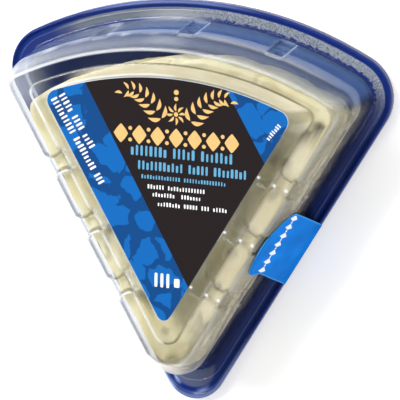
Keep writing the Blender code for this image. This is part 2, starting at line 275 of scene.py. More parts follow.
def sector_loop(side, arc, tip, corner, side_push=None, arc_push=None):
    """A rounded sector about the wheel's centre, anticlockwise from the tip's left end.

    side_push(along) and arc_push(angle) move the sides inwards.  Returns x, y and, for the
    points of the straight sides, the place along the side (elsewhere a value before its start).
    """
    sin_a, cos_a = math.sin(HALF_ANGLE), math.cos(HALF_ANGLE)
    radius = SECTOR_RADIUS + arc
    turn = np.linspace(math.pi + HALF_ANGLE, 2 * math.pi - HALF_ANGLE, TIP_STEPS + 1)
    tip_points = np.column_stack([tip * np.cos(turn), (tip - side) / sin_a + tip * np.sin(turn)])
    along = SIDE_STATIONS
    out = side - (side_push(along) if side_push else 0.0)
    right_side = np.column_stack([along * sin_a + out * cos_a, along * cos_a - out * sin_a])
    swing = HALF_ANGLE - math.asin((corner - side) / (radius - corner))
    middle = (radius - corner) * np.array([math.sin(swing), math.cos(swing)])
    turn = np.linspace(-HALF_ANGLE, math.pi / 2 - swing, CORNER_STEPS + 1)
    right_corner = middle + corner * np.column_stack([np.cos(turn), np.sin(turn)])
    limit = math.degrees(swing)
    last = ARC_STATIONS[0]
    angles = np.concatenate([[(2 * limit + last) / 3, (limit + 2 * last) / 3], ARC_STATIONS,
                             [-(limit + 2 * last) / 3, -(2 * limit + last) / 3]])
    reach = radius - (arc_push(angles) if arc_push else 0.0)
    spot = np.radians(angles)
    curved = np.column_stack([reach * np.sin(spot), reach * np.cos(spot)])
    mirror = np.array([-1.0, 1.0])
    points = np.concatenate([tip_points, right_side, right_corner, curved,
                             right_corner[::-1] * mirror, right_side[::-1] * mirror])
    nowhere = np.full(1, -1.0)
    places = np.concatenate([np.repeat(nowhere, len(tip_points)), along,
                             np.repeat(nowhere, 2 * len(right_corner) + len(curved)),
                             along[::-1]])
    return points, places


def placed(points, height):
    """Points about the wheel's centre, moved to the part's frame at a height over the flange."""
    heights = np.broadcast_to(height, len(points))
    return np.column_stack([points[:, 0], points[:, 1] + CENTRE_Y, heights + FLANGE_Z])


def lofted(name, loops):
    """A mesh through equal loops, from the outside in, with a flat face inside the last one."""
    count = len(loops[0])
    rows = len(loops)
    first = np.arange(count)
    after = np.roll(first, -1)
    faces = []
    for row in range(rows - 1):
        lower, upper = row * count, (row + 1) * count
        faces.extend(np.column_stack([lower + first, lower + after, upper + after,
                                      upper + first]).tolist())
    faces.append(((rows - 1) * count + first).tolist())
    mesh = bpy.data.meshes.new(name)
    mesh.from_pydata(np.concatenate(loops).tolist(), [], faces)
    mesh.shade_smooth()
    return mesh


def add_piece(name, mesh):
    made = bpy.data.objects.new(name, mesh)
    bpy.context.scene.collection.objects.link(made)
    return made


def sheet_thickness(piece, thickness, offset=-1.0):
    solidify = piece.modifiers.new("sheet", "SOLIDIFY")
    solidify.thickness = thickness
    solidify.offset = offset
    solidify.use_even_offset = True


def mottle(tree, scale, detail=2.0, output="Fac"):
    """Soft random mottling that is fixed to the piece."""
    place = add_node(tree, "ShaderNodeTexCoord").outputs["Object"]
    inputs = {"Vector": place, "Scale": scale, "Detail": detail}
    return add_node(tree, "ShaderNodeTexNoise", inputs).outputs[output]


def painted(tree, name, output="Fac"):
    """What is painted on the piece's points under this name."""
    return add_node(tree, "ShaderNodeAttribute", attribute_name=name).outputs[output]


def reckoned(tree, operation, *values):
    """A sum on numbers and outputs, in the order of the node's inputs."""
    inputs = dict(enumerate(values))
    return add_node(tree, "ShaderNodeMath", inputs, operation=operation).outputs["Value"]


def mixed(tree, share, low, high):
    """A tone between two, each a plain colour or an output."""
    inputs = {"Factor": share}
    for name, tone in (("A", low), ("B", high)):
        inputs[name] = tone if isinstance(tone, bpy.types.NodeSocket) else (*tone, 1.0)
    return add_node(tree, "ShaderNodeMix", inputs, data_type="RGBA").outputs["Result"]


def bumped(tree, height, strength, distance):
    inputs = {"Height": height, "Strength": strength, "Distance": distance}
    return add_node(tree, "ShaderNodeBump", inputs).outputs["Normal"]


def blue_moulding():
    """Glossy blue, with painted shade on the sunk floor and painted highlights on the lip; on the
    flange the weld shows as a grey, grainy band with a ragged inner edge.
    """
    made, tree, shader = new_material("blue_moulding")
    clouds = mottle(tree, 45.0, 3.0)
    reach = painted(tree, "rim_distance")
    # Painted shade: the sunk floor, deep in the tray, is darker.
    shade_on_floor = ranged(tree, reach, SHADE_FROM, SHADE_FULL)
    blue = mixed(tree, shade_on_floor, mixed(tree, clouds, *BLUE_TONES), SUNK_SHADE_BLUE)
    ragged = reckoned(tree, "MULTIPLY_ADD", mottle(tree, 800.0, 4.0), WELD_RAG, reach)
    strip = reckoned(tree, "MULTIPLY", ranged(tree, ragged, *WELD_INNER),
                     ranged(tree, reach, *WELD_OUTER))
    # The weld's painted share: the real weld, faded out into painted shade on the straight sides.
    band = reckoned(tree, "MULTIPLY", strip, painted(tree, "weld_share"))
    grain = ranged(tree, mottle(tree, 2700.0, 2.0), 0.36, 0.62)
    fused = add_node(tree, "ShaderNodeMix", {"Factor": painted(tree, "weld_grain"),
                                             "A": 0.22, "B": grain}).outputs["Result"]
    welded = mixed(tree, band, blue, mixed(tree, fused, *WELD_TONES))
    # The lip's painted highlights lie over everything else.
    set_inputs(tree, shader, {
        "Base Color": mixed(tree, painted(tree, "lip_wear"), welded, LIP_HIGHLIGHT_TONE),
        "Roughness": 0.20,
        "Specular IOR Level": 0.14,
        "Coat Weight": 0.05,
        "Coat Roughness": 0.06,
        "Normal": bumped(tree, clouds, 0.12, 0.0006)})
    return made


def soft_step(value):
    value = np.clip(value, 0.0, 1.0)
    return value * value * (3 - 2 * value)


def rising(value, start, span):
    """0 up to the start, smoothly up to 1 over the span after it."""
    return soft_step((value - start) / span)


def falling(value, end, span):
    """0 from the end on, smoothly up to 1 over the span before it."""
    return soft_step((end - value) / span)


def bump_at(value, centre, half):
    """1 at the centre, smoothly down to 0 at half away from it."""
    return soft_step(1 - np.abs(value - centre) / half)


def paint(mesh, name, values):
    """A number for each point, which the material reads by its name."""
    layer = mesh.attributes.new(name, "FLOAT", "POINT")
    layer.data.foreach_set("value", np.ravel(values))


loops = []
distances = []
lit_weld_shares = []
weld_grain = []
lip_wear = []
for side, arc, tip, corner, height in BASE_RINGS:
    points, _ = sector_loop(side, arc, tip, corner)
    loops.append(placed(points, height))
    distances.append(np.full(len(points), side * 1000))
    x, y = points.T
    from_centre = np.hypot(x, y)
    turned = np.degrees(np.arctan2(x, y))
    # Partly real weld, partly painted light: the grey weld shows fully on the curved side and at
    # the tip, and fades out as painted shade towards the straight sides and the left corner.
    from_corner = (from_centre - WELD_FADE_FROM) / (WELD_FADE_TO - WELD_FADE_FROM)
    from_corner *= rising(turned, -27.0, 8.0)
    at_tip = falling(y, WELD_TIP, 0.004) * falling(from_centre, 0.0070, 0.0014)
    lit_weld_shares.append(WELD_ON_SIDES + WELD_AT_TIP * at_tip
                       + (1 - WELD_ON_SIDES) * np.clip(from_corner, 0, 1) ** 2)
    # The weld is grainier and lighter towards the back and the right.
    weld_grain.append(rising(x, -0.012, 0.020) * rising(y, 0.030, 0.020))
    # Painted highlights and reflection streaks on the lip: palest on the left, at the tip and on
    # the curved side.
    left = bump_at(turned, *LIP_HIGHLIGHT_LEFT)
    tip_end = LIP_HIGHLIGHT_TIP * falling(y, 0.006, 0.006)
    on_arc = LIP_HIGHLIGHT_ARC * rising(y, 0.094, 0.006) * falling(x, 0.022, 0.020)
    on_arc *= rising(x, -0.040, 0.020)
    on_lip = 1.0 if LIP_FROM <= side <= LIP_TO else 0.25 if side > LIP_FOOT else 0.0
    lip_light = np.maximum(left, tip_end + on_arc) * on_lip
    for middle, half, reach, share in TIP_REFLECTIONS:
        across = np.exp(-((from_centre - reach) / STREAK_HALF) ** 2)
        lip_light = np.maximum(lip_light, share * across * bump_at(turned, middle, half))
    lip_wear.append(lip_light)
base_mesh = lofted("blue_base", loops)
for name, values in (("rim_distance", distances), ("weld_share", lit_weld_shares),
                     ("weld_grain", weld_grain), ("lip_wear", lip_wear)):
    paint(base_mesh, name, values)
base_mesh.materials.append(blue_moulding())
blue_base = add_piece("blue_base", base_mesh)
sheet_thickness(blue_base, BASE_SHEET)
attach(blue_base, "root")
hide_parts("base_tray")

# Cheese.  A portion cut from a wheel: two wire-cut sides and a cut top, the wheel's own rounded
# edge on the curved side, crumbly, moist, cream coloured, with blue mould in its holes.

# (side, arc, tip, corner, z) as for the base, from the foot up to the rim of the top.
CHEESE_RINGS = (
    (-0.00060, -0.00660, 0.0042, 0.0050, -0.0014),
    (0.00110, -0.00500, 0.0046, 0.0058, -0.0009),
    (0.00160, -0.00430, 0.0048, 0.0062, 0.0010),
    (0.00130, -0.00350, 0.0048, 0.0060, 0.0050),
    (0.00080, -0.00280, 0.0048, 0.0056, 0.0100),
    (0.00025, -0.00210, 0.0048, 0.0052, 0.0150),
    (-0.00005, -0.00150, 0.0056, 0.0048, 0.0195),
    (-0.00025, -0.00130, 0.0064, 0.0046, 0.0218),
    (-0.00060, -0.00160, 0.0066, 0.0044, 0.0227),
    (-0.00150, -0.00260, 0.0064, 0.0042, 0.0231),
)
CHEESE_TOP = 0.0232
CHEESE_MIDDLE = 0.060
CHEESE_SHORT = 0.0062
LEFT_FROM, LEFT_SPAN = 6.0, 33.0      # degrees over which it gets shorter
SHORT_FROM, SHORT_SPAN = 0.070, 0.025
CHEESE_ROUGH = 0.00035
# Open holes in the top: place from the wheel's centre, radius, depth.
CHEESE_HOLES = (
    (0.0411, 0.0786, 0.0021, 0.0020),
    (0.0434, 0.0812, 0.0020, 0.0016),
    (0.0338, 0.0704, 0.0018, 0.0012),
    (0.0304, 0.0610, 0.0015, 0.0010),
    (0.0178, 0.0424, 0.0013, 0.0010),
    (0.0080, 0.0205, 0.0024, 0.0020),
    (-0.0180, 0.0460, 0.0015, 0.0010),
    (-0.0300, 0.0705, 0.0017, 0.0010),
    (-0.0080, 0.0270, 0.0016, 0.0012),
)
# Patches of mould on the top: place from the wheel's centre, radius, share.
MOULD_PATCHES = (
    (0.0404, 0.0783, 0.0022, 1.0),
    (0.0436, 0.0807, 0.0019, 0.9),
    (0.0310, 0.0723, 0.0024, 0.5),
    (0.0188, 0.0424, 0.0014, 0.7),
    (0.0144, 0.0322, 0.0012, 1.0),
    (0.0301, 0.0605, 0.0014, 0.8),
    (0.0095, 0.0196, 0.0021, 1.0),
    (0.0081, 0.0222, 0.0016, 0.8),
    (0.0010, 0.0084, 0.0022, 0.4),
    (-0.0009, 0.0067, 0.0018, 0.4),
    (-0.0013, 0.0172, 0.0012, 0.35),
)
CHEESE_CRUMB = 0.00030                # how deep the fine crumbly relief goes
TOP_RINGS = 44
RAGGED_AT, RAGGED_HALF = 0.0015, 0.0060       # the sides crumble about this height
RAGGED_DEPTH = 0.0016
HOLE_REACH = 1.6                      # a hole's bowl fades out at this many of its radii
BODY_RINGS = 70                       # from the foot to the rim of the top
MOULDY_DEPTH = 0.0016                 # a hole this deep is mouldy all over
TOP_DEPTH = 0.003                     # what lies less than this below the top counts as top
LUMPS, PITS, RAGS = 190, 620, 150     # how fine each relief is, per metre
VEINS, VEIN_FIELDS, VEIN_HALF = 95, 38, 0.10
VEINS_AT_RIND, VEINS_INSIDE = 0.16, 0.40      # how much mould shows, and how much more inside
RIND_AT, RIND_DEPTH = 0.089, 0.008
CREAM_TONES = ((0.700, 0.605, 0.320), (0.850, 0.765, 0.500))
MOULD_TONES = ((0.095, 0.076, 0.022), (0.030, 0.043, 0.038))


def unevenness(x, y, z):
    """The solid's own fixed unevenness, between about -1 and 1."""
    total = 0.62 * np.sin(210 * x + 95 * y + 60 * z + 0.4) * np.sin(150 * y - 180 * x + 1.3)
    total += 0.38 * np.sin(520 * x - 340 * y + 410 * z + 2.1)
    total += 0.30 * np.sin(900 * y + 640 * x - 700 * z + 0.7) * np.sin(760 * x - 300 * z)
    return total


def shortened(points):
    """The wedge doesn't fill the pack's left corner."""
    x, y = points[:, 0], points[:, 1]
    reach = np.hypot(x, y)
    left = np.clip((LEFT_FROM - np.degrees(np.arctan2(x, y))) / LEFT_SPAN, 0.0, 1.0)
    inward = CHEESE_SHORT * left ** 1.1 * np.clip((reach - SHORT_FROM) / SHORT_SPAN, 0.0, 1.0)
    return points * (1 - inward / np.maximum(reach, 0.001))[:, None]


def pushed(points, height):
    away = points - np.array([0.0, CHEESE_MIDDLE])
    length = np.hypot(away[:, 0], away[:, 1])
    push = CHEESE_ROUGH * (unevenness(points[:, 0], points[:, 1], height) - 0.7)
    return points + away / length[:, None] * push[:, None]


def hole_depth(x, y):
    depth = np.zeros(len(x))
    for hole_x, hole_y, radius, deep in CHEESE_HOLES:
        away = np.minimum(np.hypot(x - hole_x, y - hole_y) / radius, HOLE_REACH)
        bowl = deep * 0.5 * (1 + np.cos(math.pi * away / HOLE_REACH))
        depth = np.maximum(depth, np.where(away < HOLE_REACH, bowl, 0))
    return depth


def between(rings, steps):
    """Rings of the table with further ones in between, on a smooth curve through the table."""
    table = np.array(rings)
    at = np.arange(len(table))
    fine = np.linspace(0, len(table) - 1, steps)
    tangent = np.gradient(table, axis=0)
    cell = np.minimum(fine.astype(int), len(table) - 2)
    t = (fine - at[cell])[:, None]
    h00, h10 = 2 * t ** 3 - 3 * t ** 2 + 1, t ** 3 - 2 * t ** 2 + t
    h01, h11 = -2 * t ** 3 + 3 * t ** 2, t ** 3 - t ** 2
    return (h00 * table[cell] + h10 * tangent[cell]
            + h01 * table[cell + 1] + h11 * tangent[cell + 1])


def cheese_body():
    """Foot, sides and rounded top edge, then rings across the top, with crumbly fine relief."""
    loops = []
    for side, arc, tip, corner, height in between(CHEESE_RINGS, BODY_RINGS):
        points, _ = sector_loop(side, arc, tip, corner)
        edge = pushed(shortened(points), height)
        loops.append(placed(edge, height))
    middle = np.array([0.0, CHEESE_MIDDLE])
    for share in np.linspace(1.0, 0.02, TOP_RINGS)[1:]:
        points = middle + (edge - middle) * share
        rough = CHEESE_ROUGH * 0.6 * (unevenness(*points.T, 0.0) - 0.9)
        loops.append(placed(points, CHEESE_TOP - hole_depth(*points.T) + rough))
    mesh = lofted("blue_cheese", loops)
    foot = bmesh.new()
    foot.from_mesh(mesh)
    foot.verts.ensure_lookup_table()
    foot.faces.new([foot.verts[i] for i in reversed(range(len(loops[0])))])
    foot.to_mesh(mesh)
    foot.free()
    return mesh


def points_and_normals(mesh):
    """Every point's place and normal, one row each."""
    found = []
    for name in ("co", "normal"):
        values = np.empty(len(mesh.vertices) * 3)
        mesh.vertices.foreach_get(name, values)
        found.append(values.reshape(-1, 3))
    return found


def crumbly(mesh):
    """Moves each point along its normal: small pits and lumps, deeper crumbling low on the sides;
    paints the mould.
    """
    places, normals = points_and_normals(mesh)
    depth = np.empty(len(places))
    mould = np.empty(len(places))
    for i, place in enumerate(places):
        spot = Vector(place)
        lumps = noise.fractal(spot * LUMPS, 0.9, 2.1, 4)
        pits = noise.noise(spot * PITS)
        depth[i] = -CHEESE_CRUMB * (0.75 - 0.75 * lumps)
        depth[i] -= CHEESE_CRUMB * max(0.0, pits - 0.15) * 1.8
        low_down = max(0.0, 1 - abs(place[2] - FLANGE_Z - RAGGED_AT) / RAGGED_HALF)
        depth[i] -= RAGGED_DEPTH * low_down * max(0.0, noise.noise(spot * RAGS) + 0.25)
        veins = abs(noise.noise(spot * VEINS + Vector((3, 1, 7))))
        fields = max(0.0, noise.noise(spot * VEIN_FIELDS) * 2.2)
        mould[i] = max(0.0, 1 - veins / VEIN_HALF) * fields
    x = places[:, 0]
    y = places[:, 1] - CENTRE_Y
    mould *= VEINS_AT_RIND + VEINS_INSIDE * falling(np.hypot(x, y), RIND_AT, RIND_DEPTH)
    on_top = places[:, 2] > FLANGE_Z + CHEESE_TOP - TOP_DEPTH
    mould = np.maximum(mould, np.where(on_top, hole_depth(x, y) / MOULDY_DEPTH, 0))
    for patch_x, patch_y, radius, share in MOULD_PATCHES:
        away = np.hypot(x - patch_x, y - patch_y)
        mould = np.maximum(mould, np.where(on_top, share * soft_step(1.5 - away / radius), 0))
    places += normals * depth[:, None]
    mesh.vertices.foreach_set("co", places.ravel())
    paint(mesh, "mould", np.clip(mould, 0, 1))
    mesh.update()


def cheese_paste():
    """Cream paste, a little yellower in patches, blue-green to olive where mould grows."""
    made, tree, shader = new_material("cheese_paste")
    patches = ranged(tree, mottle(tree, 95.0, 5.0), 0.34, 0.60)
    cream = mixed(tree, patches, *CREAM_TONES)
    mouldy = mixed(tree, mottle(tree, 330.0), *MOULD_TONES)
    set_inputs(tree, shader, {
        "Base Color": mixed(tree, painted(tree, "mould"), cream, mouldy),
        "Roughness": 0.42,
        "Subsurface Weight": 0.35,
        "Subsurface Radius": (1.0, 0.8, 0.5),
        "Subsurface Scale": 0.0016,
        "Normal": bumped(tree, mottle(tree, 900.0, 4.0), 0.35, 0.0003)})
    return made


cheese_mesh = cheese_body()
crumbly(cheese_mesh)
cheese_mesh.materials.append(cheese_paste())
blue_cheese = add_piece("blue_cheese", cheese_mesh)
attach(blue_cheese, "root")
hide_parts("cheese_wedge")

# Clear dome.  A thin clear moulded sheet welded to the base: a flange, an upright wall with
# flutes, a sloping shoulder, a ledge parted into bays by grooves, and a raised table for the
# label.  Its rounded edges show painted highlights as well as the lights' real reflections, and
# painted shade and painted reflections of the base and the cheese lie on it.

DOME_SHEET = 0.00045
LEDGE = 0.0255                        # the ledge's height over the flange
GROOVE_FADE_FROM, GROOVE_FADE = 0.0072, 0.0060        # the grooves fade out this far from it
GROOVE_HALF = 0.0021
GROOVE_RAMP = 0.0008
GROOVE_DROP = 0.0012
GROOVE_FLUTE = 0.0003
BAY_ROUND = 0.0017
LEDGE_OUTER, LEDGE_INNER = -0.0004, -0.0049
FLUTE_HALF = 1.15
FLUTE_RAMP = 0.22
FLUTE_DEPTH = 0.0008
# (side, arc, tip, corner, z, share of the groove, share of the flute)
DOME_FOOT = (
    (0.00690, 0.00690, 0.0098, 0.0105, 0.0009, 0.0, 0.0),
    (0.00670, 0.00670, 0.0098, 0.0103, 0.0009, 0.0, 0.0),
    (0.00560, 0.00560, 0.0096, 0.0092, 0.0009, 0.0, 0.0),
    (0.00500, 0.00500, 0.0094, 0.0086, 0.0009, 0.0, 0.0),
    (0.00460, 0.00460, 0.0092, 0.0081, 0.0010, 0.0, 0.0),
    (0.00435, 0.00435, 0.0092, 0.0079, 0.0013, 0.0, 0.0),
    (0.00420, 0.00420, 0.0092, 0.0077, 0.0019, 0.0, 0.0),
    (0.00414, 0.00414, 0.0092, 0.0077, 0.0026, 0.2, 0.0),
    (0.00410, 0.00410, 0.0092, 0.0077, 0.0029, 0.3, 1.0),
    (0.00380, 0.00380, 0.0092, 0.0073, 0.0090, 0.4, 1.0),
    (0.00350, 0.00350, 0.0092, 0.0070, 0.0157, 0.5, 1.0),
    (0.00344, 0.00344, 0.0092, 0.0069, 0.0160, 0.5, 0.0),
    (0.00330, 0.00328, 0.0092, 0.0067, 0.0172, 0.6, 0.0),
    (0.00305, 0.00300, 0.0091, 0.0064, 0.0178, 0.7, 0.0),
    (0.00250, 0.00240, 0.0090, 0.0058, 0.0192, 0.8, 0.0),
    (0.00160, 0.00165, 0.0089, 0.0048, 0.0219, 0.9, 0.0),
    (0.00085, 0.00105, 0.0088, 0.0040, 0.0241, 1.0, 0.0),
    (0.00068, 0.00088, 0.0087, 0.0038, 0.0246, 1.0, 0.0),
    (0.00047, 0.00067, 0.0086, 0.0036, 0.0250, 1.0, 0.0),
    (0.00020, 0.00040, 0.0085, 0.0033, 0.0253, 1.0, 0.0),
    (-0.00010, 0.00010, 0.0083, 0.0030, 0.02545, 1.0, 0.0),
    (-0.00040, -0.00020, 0.0081, 0.0028, 0.0255, 1.0, 0.0),
)
DOME_TABLE = (
    (-0.00490, -0.00380, 0.0042, 0.0030, 0.0255, 1.0, 0.0),
    (-0.00510, -0.00395, 0.0040, 0.0030, 0.02553, 0.9, 0.0),
    (-0.00535, -0.00418, 0.0038, 0.0030, 0.0257, 0.6, 0.0),
    (-0.00570, -0.00445, 0.0036, 0.0030, 0.0259, 0.3, 0.0),
    (-0.00860, -0.00610, 0.0018, 0.0033, 0.0275, 0.0, 0.0),
    (-0.00890, -0.00630, 0.0016, 0.0034, 0.02768, 0.0, 0.0),
    (-0.00910, -0.00650, 0.0014, 0.0034, 0.02785, 0.0, 0.0),
    (-0.00935, -0.00675, 0.0013, 0.0035, 0.02795, 0.0, 0.0),
    (-0.00970, -0.00710, 0.0013, 0.0035, 0.0280, 0.0, 0.0),
)
LEDGE_STEPS = 15
BEND_FROM, BEND_FULL = 0.30, 1.2      # bends, per millimetre, that show, and that show fully
GLEAM_WHITE = 0.50
BACK_WAY = np.array([-0.45, 0.89])    # level directions towards the back light and the key light
KEY_WAY = np.array([-0.87, -0.50])
RIGHT_WAY = np.array([math.cos(HALF_ANGLE), -math.sin(HALF_ANGLE)])
BLUE_FILM, CREAM_FILM = 0.22, 0.42
PAD_FIRST, PAD_LAST = 0.0225, 0.1050  # the pads of the right ledge: ends, middle, round corners
PAD_GAP = 0.0018
PAD_MIDDLE, PAD_HALF = -0.0024, 0.0024
PAD_ROUND = 0.0016
PAD_LINE = 0.00022
# Glints at each groove: distance outside the nominal sector, distance before the groove.
DOT_PLACES = ((-0.0045, 0.0019), (-0.0008, 0.0012), (-0.0094, 0.0011))
DOT_SIZE = 0.00042
# Glints along the knee of the curved wall: angle and half width in degrees, share.
KNEE_GLINTS = ((-22.6, 1.4, 1.3), (-17.2, 2.4, 0.8), (-9.4, 1.2, 1.0), (-4.5, 1.5, 0.5))
SHOULDER_GLOWS = ((-2.0, 5.0, 0.16), (30.0, 4.5, 0.14))
FOOT_GLINT = (-4.0, 8.0, 0.60)
# Heights over the flange: the wall's foot, its knee, the shoulder's top and the table's foot.
FOOT_Z, KNEE_Z, SHOULDER_Z, TABLE_Z = 0.0022, 0.0172, 0.0245, 0.0256
ARC_FROM, WALL_FROM = 0.1000, 0.1020  # the curved flange and the curved wall lie beyond these
LEDGE_DIM = (0.10, 0.15)              # what is left of the painted light on ridges and in valleys on the right ledge
# Bands round the wall, by height: middle and half width.
FOOT_BAND, KNEE_BAND = (0.0014, 0.0010), (0.0168, 0.0012)
CREAM_BAND, EDGE_BAND = (0.0166, 0.0010), (0.0247, 0.0009)
FLANGE_BAND = (0.00690, 0.0002)       # the flange's edge, outside the nominal sector
WALL_TOP = 0.0176
# How strong each painted highlight, shade and cream light is where it is strongest.
VALLEY_GLEAM, CORNER_GLEAM, EDGE_GLEAM, DOT_GLEAM = 0.85, 0.36, 0.42, 2.4
FLANGE_GLEAM, LEFT_FLANGE_GLEAM = 0.20, 0.45
FAR_LEFT_GLEAM, GREYED_GLEAM, SHOULDER_GLEAM = 0.45, 0.16, 0.07
VALLEY_DIM, PAD_DIM, RIGHT_DIM, TIP_DIM = 0.55, 0.85, 0.28, 0.14
PAD_CREAM, TIP_CREAM, SLOPE_CREAM = 0.62, 0.7, 0.9
# The tones on the sheet: looked through (with painted shade), painted highlights, painted
# reflections of the blue base, smears, painted cream light from the cheese.
SHEET_TINTS = ((0.965, 0.975, 0.985), (0.42, 0.41, 0.34))
WHITE_TONES = ((0.80, 0.84, 0.88), (0.90, 0.91, 0.93))
BLUE_MIRRORED = ((0.06, 0.20, 0.62), (0.20, 0.34, 0.66))
SMEAR_TONES = ((0.30, 0.27, 0.19), (0.62, 0.57, 0.43))
CREAM_MIRRORED = ((0.74, 0.67, 0.48), (0.88, 0.82, 0.64))
STREAK_LENGTH, STREAK_WIDTH = 0.0130, 0.0015


def groove_at(along, side):
    """1 in a groove, 0 in a bay; a bay's ends are rounded in plan."""
    share = np.zeros(len(along))
    edge = max(0.0, min(LEDGE_OUTER - side, side - LEDGE_INNER))
    rounding = 0.0
    if LEDGE_INNER <= side <= LEDGE_OUTER and edge < BAY_ROUND:
        rounding = BAY_ROUND - math.sqrt(BAY_ROUND ** 2 - (BAY_ROUND - edge) ** 2)
    if side < LEDGE_INNER or side > LEDGE_OUTER:
        rounding = BAY_ROUND * 0.6
    for centre in GROOVE_ALONG:
        inside = np.abs(along - centre) - GROOVE_HALF - rounding * 0.6
        share = np.maximum(share, 1 - soft_step(inside / GROOVE_RAMP))
    return share


def flute_at(angles):
    share = np.zeros(len(angles))
    for centre in FLUTE_ANGLES:
        outside = (np.abs(angles - centre) - FLUTE_HALF) / FLUTE_RAMP
        share = np.maximum(share, 1 - soft_step(outside))
    return share


def dome_loop(ring):
    side, arc, tip, corner, height, groove, flute = ring
    points, places = sector_loop(
        side, arc, tip, corner,
        lambda along: GROOVE_FLUTE * groove * groove_at(along, side),
        lambda angles: FLUTE_DEPTH * flute * flute_at(angles))
    fade = np.clip((GROOVE_FADE_FROM - abs(height - LEDGE)) / GROOVE_FADE, 0.0, 1.0)
    drop = GROOVE_DROP * groove * fade * np.where(places > 0, groove_at(places, side), 0.0)
    return placed(points, height - drop)


def layered(tree, share, under, over):
    inputs = {"Fac": share, 1: under, 2: over}
    return add_node(tree, "ShaderNodeMixShader", inputs).outputs["Shader"]


def filmed(tree, under, share, tone):
    """A film of one tone on the sheet, as dense as its share."""
    film = add_node(tree, "ShaderNodeBsdfDiffuse", {"Color": tone}).outputs["BSDF"]
    return layered(tree, share, under, film)


def clear_moulding():
    """Thin clear sheet: seen through face on, mirror-like at a slant, with a faint haze.

    Painted highlights, painted reflections of the blue base, painted cream light from the cheese
    and the cheese's smears each lie on it as a film of that tone, painted shade darkens what shows
    through, and the brightest painted glints glow; the shares of each are painted on its points.
    """
    made, tree, shader = new_material("clear_moulding")
    tree.nodes.remove(shader)
    wisps = mottle(tree, 60.0, 4.0)
    walked = painted(tree, "streak_place", "Vector")
    streaks = add_node(tree, "ShaderNodeTexNoise",
                       {"Vector": walked, "Scale": 1.0, "Detail": 3.0}).outputs["Fac"]
    streak = ranged(tree, streaks, 0.38, 0.66)
    # Painted shade: where dim is painted, what shows through the sheet is darker and yellower.
    tint = mixed(tree, painted(tree, "dim"), *SHEET_TINTS)
    body = add_node(tree, "ShaderNodeBsdfTransparent", {"Color": tint}).outputs["BSDF"]
    # Painted highlights, laid on as a white film.
    gleam = painted(tree, "gleam")
    white = reckoned(tree, "ADD", reckoned(tree, "MULTIPLY", gleam, GLEAM_WHITE),
                     ranged(tree, wisps, 0.35, 0.75, 0.001, 0.006))
    body = filmed(tree, body, white, mixed(tree, gleam, *WHITE_TONES))
    # Painted reflection of the blue base.
    blue = reckoned(tree, "MULTIPLY", painted(tree, "mirrored_blue"), BLUE_FILM)
    body = filmed(tree, body, blue, mixed(tree, streak, *BLUE_MIRRORED))
    smear = reckoned(tree, "MULTIPLY", painted(tree, "smear"),
                     ranged(tree, streaks, 0.36, 0.62, 0.20, 0.46))
    smear = reckoned(tree, "MULTIPLY", smear,
                     ranged(tree, mottle(tree, 200.0, 3.0), 0.38, 0.58, 0.45, 1.30))
    body = filmed(tree, body, smear, mixed(tree, streak, *SMEAR_TONES))
    # Painted cream light from the cheese.
    cream = reckoned(tree, "MULTIPLY", painted(tree, "mirrored_cream"), CREAM_FILM)
    body = filmed(tree, body, cream, mixed(tree, streak, *CREAM_MIRRORED))
    # Painted glints: the brightest painted highlights glow.
    white_glint = add_node(tree, "ShaderNodeEmission", {"Color": (1.0, 1.0, 1.0, 1.0)})
    body = layered(tree, ranged(tree, gleam, 0.95, 1.45), body, white_glint.outputs["Emission"])
    facing = add_node(tree, "ShaderNodeLayerWeight", {"Blend": 0.5}).outputs["Facing"]
    slant = reckoned(tree, "POWER", facing, 5.0)
    gloss = add_node(tree, "ShaderNodeBsdfGlossy", {
        "Color": (1.0, 1.0, 1.0, 1.0), "Roughness": 0.05,
        "Normal": bumped(tree, wisps, 0.10, 0.0005)}).outputs["BSDF"]
    whole = layered(tree, ranged(tree, slant, 0.0, 1.0, 0.012, 0.85), body, gloss)
    set_inputs(tree, tree.nodes["Material Output"], {"Surface": whole})
    return made


def bending(mesh, rows):
    """How sharply the sheet bends at each point, per millimetre: above 0 on ridges, below 0
    in valleys; the stronger of the bends along the loops and across them."""
    places, normals = points_and_normals(mesh)
    places = places.reshape(rows, -1, 3) * 1000
    normals = normals.reshape(rows, -1, 3)
    found = np.zeros(places.shape[:2])
    for axis in (0, 1):
        for step in (-1, 1):
            walked = np.roll(places, step, axis) - places
            turned = np.roll(normals, step, axis) - normals
            bend = (walked * turned).sum(2) / np.maximum((walked ** 2).sum(2), 1e-6)
            if axis == 0:
                bend[0 if step > 0 else -1] = 0
            found = np.where(np.abs(bend) > np.abs(found), bend, found)
    return found.ravel()


def pad_lines(along, side):
    """1 on the painted shade line round a right-ledge pad: strong at its tip end, weak elsewhere.
    """
    found = np.zeros(len(along))
    lows = (PAD_FIRST, *(centre + PAD_GAP for centre in GROOVE_ALONG))
    highs = (*(centre - PAD_GAP for centre in GROOVE_ALONG), PAD_LAST)
    for low, high in zip(lows, highs):
        u = np.abs(along - (low + high) / 2) - (high - low) / 2 + PAD_ROUND
        v = np.abs(side - PAD_MIDDLE) - PAD_HALF + PAD_ROUND
        away = np.hypot(np.maximum(u, 0), np.maximum(v, 0)) + np.minimum(np.maximum(u, v), 0)
        near = np.exp(-((away - PAD_ROUND) / PAD_LINE) ** 2)
        tip_end = falling(along, low + 0.0030, 0.0020)
        inner = 0.40 * falling(side, PAD_MIDDLE, 0.0015)
        found = np.maximum(found, near * np.maximum(tip_end, inner))
    return found


def inside_pads(along, side):
    """1 on the right ledge's pads, which catch the light, less between them."""
    share = falling(np.abs(side - PAD_MIDDLE), PAD_HALF + 0.0007, 0.0008)
    for centre in GROOVE_ALONG:
        share = share * (0.6 + 0.4 * rising(np.abs(along - centre), PAD_GAP, 0.0006))
    return share


